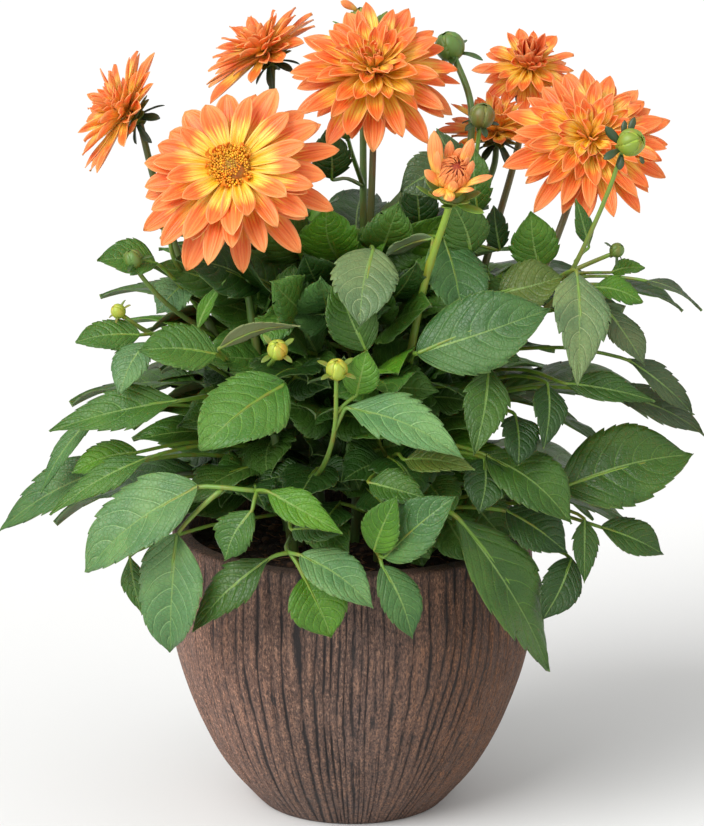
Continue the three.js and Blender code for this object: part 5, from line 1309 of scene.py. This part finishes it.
def ridgeRelief(a, z):  # 0 in a groove, 1 on a crest: ridges front and back, calmer at the sides
    n = noise.noise
    front = (a + 1.5 * math.pi) % (2 * math.pi) - math.pi  # 0 at the full side, growing to the right
    if abs(front) > math.pi / 2:  # the back repeats the mould
        front = (front + 2 * math.pi) % (2 * math.pi) - math.pi
    arc = front * potPlan["arcRadius"]
    low = max(0, 1 - z / 165)
    lean = 26 * math.exp(-((arc - 62) / 34) ** 2) * low ** 1.6  # the grain sweeps in at the right, low down
    knot = math.exp(-((arc - 3) / 7) ** 2 - ((z - 74) / 16) ** 2)
    warp = 9 * n(Vector((arc / 52, z / 260, 4))) + 2.4 * n(Vector((arc / 9, z / 60, 8))) + lean
    warp += 0.7 * n(Vector((arc / 4, z / 11, 14))) + 1.5 * math.copysign(1, arc - 3) * knot
    close = potPlan["pitch"]  # mm from ridge to ridge in the middle, growing to either side
    pitch = close + 3.4 * min(1, max(0, (-arc - 14) / 26)) + 2.6 * min(1, max(0, (arc - 16) / 30))
    edge = math.copysign(16, arc)
    x = (arc + warp) / close if pitch == close else edge / close + (arc + warp - edge) / pitch
    which = round(x)
    dip = 1 - abs(math.sin(math.pi * (x - 0.5))) ** 0.55
    deep = 0.45 + 0.55 * draw(which, 5)
    calm = min(1, max(0, (abs(arc + 4) - 70) / 34))
    fibre = 0.5 + 0.5 * n(Vector((arc / 1.9, z / 40, 2)))
    rough = 0.5 + 0.5 * n(Vector((arc / 8, z / 22, 6)))
    fade = 0.78 + 0.6 * n(Vector((arc / 7, z / 42, 11)))
    strength = mix(1.0, 0.30, calm) * deep * min(1.2, max(0.35, fade))
    thin = (1 - abs(math.sin(math.pi * (x * 2.37 + 0.3))) ** 0.35) * max(0, n(Vector((arc / 5, z / 30, 23))) + 0.35)
    value = 0.95 - strength * dip - 0.26 * fibre - mix(0.16, 0.30, calm) * rough - 0.7 * thin
    return min(1, max(0, value - 0.25 * knot * fibre))


def roundProfile():  # rows of radius, height and how much relief each carries
    curve = smoothCurve([vec(r, 0, z) for z, r in potPlan["wall"]], potPlan["rows"])
    return potPlan["foot"] + [(p[0], p[2], 1) for p in curve[1:-1]] + potPlan["rim"] + potPlan["inside"]


rows = roundProfile()
count = potPlan["columns"]
bpy.ops.mesh.primitive_grid_add(x_subdivisions=count, y_subdivisions=len(rows) - 1, size=1, location=(0, 0, 0))
pot = bpy.context.object
pot.name = pot.data.name = "planter"
marks = np.zeros(len(pot.data.vertices), dtype=np.float32)
for i, v in enumerate(pot.data.vertices):
    r, z, share = rows[round((v.co.y + 0.5) * (len(rows) - 1))]
    a = 2 * math.pi * (v.co.x + 0.5)
    relief = ridgeRelief(a, z) if share else 0.35
    marks[i] = mix(0.45, relief, min(1, share * 1.3)) if z > 150 or share else 0.4
    r += (relief - 0.62) * potPlan["depth"] * share
    v.co = (r * math.cos(a) * mm, r * math.sin(a) * mm, z * mm)
pot.data.attributes.new("relief", "FLOAT", "POINT").data.foreach_set("value", marks)
bpy.ops.object.mode_set(mode="EDIT")
bpy.ops.mesh.select_all(action="SELECT")
bpy.ops.mesh.remove_doubles(threshold=0.00001)
bpy.ops.mesh.select_all(action="DESELECT")
bpy.ops.mesh.select_mode(type="EDGE")
bpy.ops.mesh.select_non_manifold()
bpy.ops.mesh.edge_face_add()
bpy.ops.mesh.select_all(action="SELECT")
bpy.ops.mesh.normals_make_consistent(inside=False)
bpy.ops.object.mode_set(mode="OBJECT")
bpy.ops.object.shade_smooth_by_angle(angle=math.radians(50))
print("planter faces:", len(pot.data.polygons))
for k in range(potPlan["holes"]):
    a = 2 * math.pi * (k + 0.5) / potPlan["holes"]
    spot = (potPlan["holeCircle"] * math.cos(a) * mm, potPlan["holeCircle"] * math.sin(a) * mm, 0.004)
    bpy.ops.mesh.primitive_cylinder_add(vertices=24, radius=potPlan["hole"] * mm, depth=0.03, location=spot)
    drill = bpy.context.object
    drill.select_set(False)
    bpy.context.view_layer.objects.active = pot
    pot.select_set(True)
    bpy.ops.object.modifier_add(type="BOOLEAN")
    pot.modifiers[-1].object = drill
    pot.modifiers[-1].operation = "DIFFERENCE"
    bpy.ops.object.modifier_apply(modifier=pot.modifiers[-1].name)
    bpy.data.objects.remove(drill)
pot.data.materials.clear()
pot.data.materials.append(looks["pot"])
pot.select_set(False)
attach(pot, "root")
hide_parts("pot")
print("planter made:", len(pot.data.polygons), "faces")


# soil
soilPlan = dict(
    top=187, edge=113, rings=44, around=150, crumbs=1500, fibres=220, peat=(0.045, 0.026, 0.018),
    below=[(113.4, 184), (115.6, 150), (94.8, 60.3), (60.8, 9.3)],  # radius and height down to the floor of the pot
    crumbTones=[(0.036, 0.020, 0.013), (0.085, 0.045, 0.027), (0.170, 0.085, 0.045)],
)


def soilHeight(x, y):
    r = math.hypot(x, y) / soilPlan["edge"]
    lumps = noise.noise(Vector((x / 22, y / 22, 3))) * 2.6 + noise.noise(Vector((x / 7, y / 7, 9))) * 1.6
    return soilPlan["top"] + lumps + 2 * (1 - r) - 1.5 * r ** 6


bag = newBag()
rings, around = soilPlan["rings"], soilPlan["around"]
turns = [2 * math.pi * j / around for j in range(around)]
points = [vec(0, 0, soilHeight(0, 0))]
for i in range(1, rings + 1):
    r = soilPlan["edge"] * i / rings
    for a in turns:
        x, y = r * math.cos(a), r * math.sin(a)
        points.append(vec(x, y, soilHeight(x, y)))
for r, z in soilPlan["below"]:
    points += [vec(r * math.cos(a), r * math.sin(a), z) for a in turns]
faces = [[0, 1 + j, 1 + (j + 1) % around] for j in range(around)]
for i in range(rings + 3):
    for j in range(around):
        a, b = 1 + i * around + j, 1 + i * around + (j + 1) % around
        faces.append([a, a + around, b + around, b])
faces.append([1 + (rings + 3) * around + j for j in range(around)][::-1])
drop(bag, np.array(points), faces, None, soilPlan["peat"])
bpy.ops.mesh.primitive_ico_sphere_add(subdivisions=1, radius=1, location=(0, 0, 0))
lump, lumpFaces = takeForm()
for i in range(soilPlan["crumbs"]):
    a, r = 2 * math.pi * draw(i, 61), (soilPlan["edge"] - 2.5) * math.sqrt(draw(i, 62))
    x, y = r * math.cos(a), r * math.sin(a)
    size = 0.8 + 2.6 * draw(i, 63) ** 3
    shape = lump * size * np.array([0.7 + 0.6 * draw(i, 64), 0.7 + 0.6 * draw(i, 65), 0.5 + 0.4 * draw(i, 66)])
    shape = shape * (0.85 + 0.3 * np.array([draw(i, 70 + q) for q in range(len(lump))]))[:, None]
    tone = soilPlan["crumbTones"][int(draw(i, 67) * 3)]
    drop(bag, shape + vec(x, y, soilHeight(x, y) + 0.2 * size), lumpFaces, None, tone)
for i in range(soilPlan["fibres"]):
    a, r = 2 * math.pi * draw(i, 81), (soilPlan["edge"] - 12) * math.sqrt(draw(i, 82))
    x, y = r * math.cos(a), r * math.sin(a)
    turn, long = 6.28 * draw(i, 83), 5 + 13 * draw(i, 84)
    way = vec(math.cos(turn), math.sin(turn), 0)
    bow = vec(-way[1], way[0], 0) * (draw(i, 85) - 0.5) * long * 0.8
    line = []
    for t in (0, 0.25, 0.5, 0.75, 1):
        p = vec(x, y, 0) + way * long * (t - 0.5) + bow * (1 - (2 * t - 1) ** 2)
        line.append(vec(p[0], p[1], soilHeight(p[0], p[1]) + 0.9 + 1.8 * draw(i, 86) * t))
    tone = (0.30, 0.14, 0.06) if draw(i, 87) > 0.4 else (0.13, 0.07, 0.04)
    rod(bag, line, [0.35, 0.4, 0.4, 0.3, 0.12], 4, tone)
makePiece("peat", bag, ["soil"], ["soil"], smooth=False)
print("soil made")

# stage, light and camera
studioPlan = dict(
    floor=[(0.80, 0.80, 0.79), (0.82, 0.82, 0.81)], sky=(1, 1, 1, 1), glow=0.70,
    lamps=[  # name, where it shines from, strength, spread in degrees
        ("keyLamp", (-1.8, -1.7, 1.9), 2.9, 44), ("fillLamp", (2.2, -1.8, 1.2), 0.35, 60),
    ],
)
cameraPlan = dict(place=(0, -2.4, 0.888), down=14.2, sensor=36, lens=154.3, reach=60)
bpy.ops.mesh.primitive_plane_add(size=40, location=(0, 0, 0))
floor = bpy.context.object
floor.name = "paleFloor"
paper, tree, shader = newLook("palePaper", 0.9)
cloud = soften(tree, grainOf(tree, 0.8), 0.3, 0.7)
finishLook(tree, shader, tinted(tree, cloud, *studioPlan["floor"]))
floor.data.materials.append(paper)

world = bpy.data.worlds.new("studio")
bpy.context.scene.world = world
world.use_nodes = True
sky = world.node_tree.nodes["Background"].inputs
sky[0].default_value, sky[1].default_value = studioPlan["sky"], studioPlan["glow"]

for name, place, power, spread in studioPlan["lamps"]:
    lamp = bpy.data.lights.new(name, "SUN")
    lamp.energy, lamp.angle = power, math.radians(spread)
    holder = bpy.data.objects.new(name, lamp)
    holder.location = place
    holder.rotation_euler = (-Vector(place)).to_track_quat("-Z", "Y").to_euler()
    bpy.context.scene.collection.objects.link(holder)

eye = bpy.data.cameras.new("camera")
eye.sensor_width, eye.lens, eye.clip_end = cameraPlan["sensor"], cameraPlan["lens"], cameraPlan["reach"]
camera = bpy.data.objects.new("camera", eye)
camera.location = cameraPlan["place"]
camera.rotation_euler = (math.radians(90 - cameraPlan["down"]), 0, 0)
bpy.context.scene.collection.objects.link(camera)
bpy.context.scene.camera = camera
bpy.context.scene.view_settings.view_transform = "Standard"

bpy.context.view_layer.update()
shown = [o for o in bpy.data.objects if o.type == "MESH" and not o.hide_render]
print("triangles ", sum(len(p.vertices) - 2 for o in shown for p in o.data.polygons))
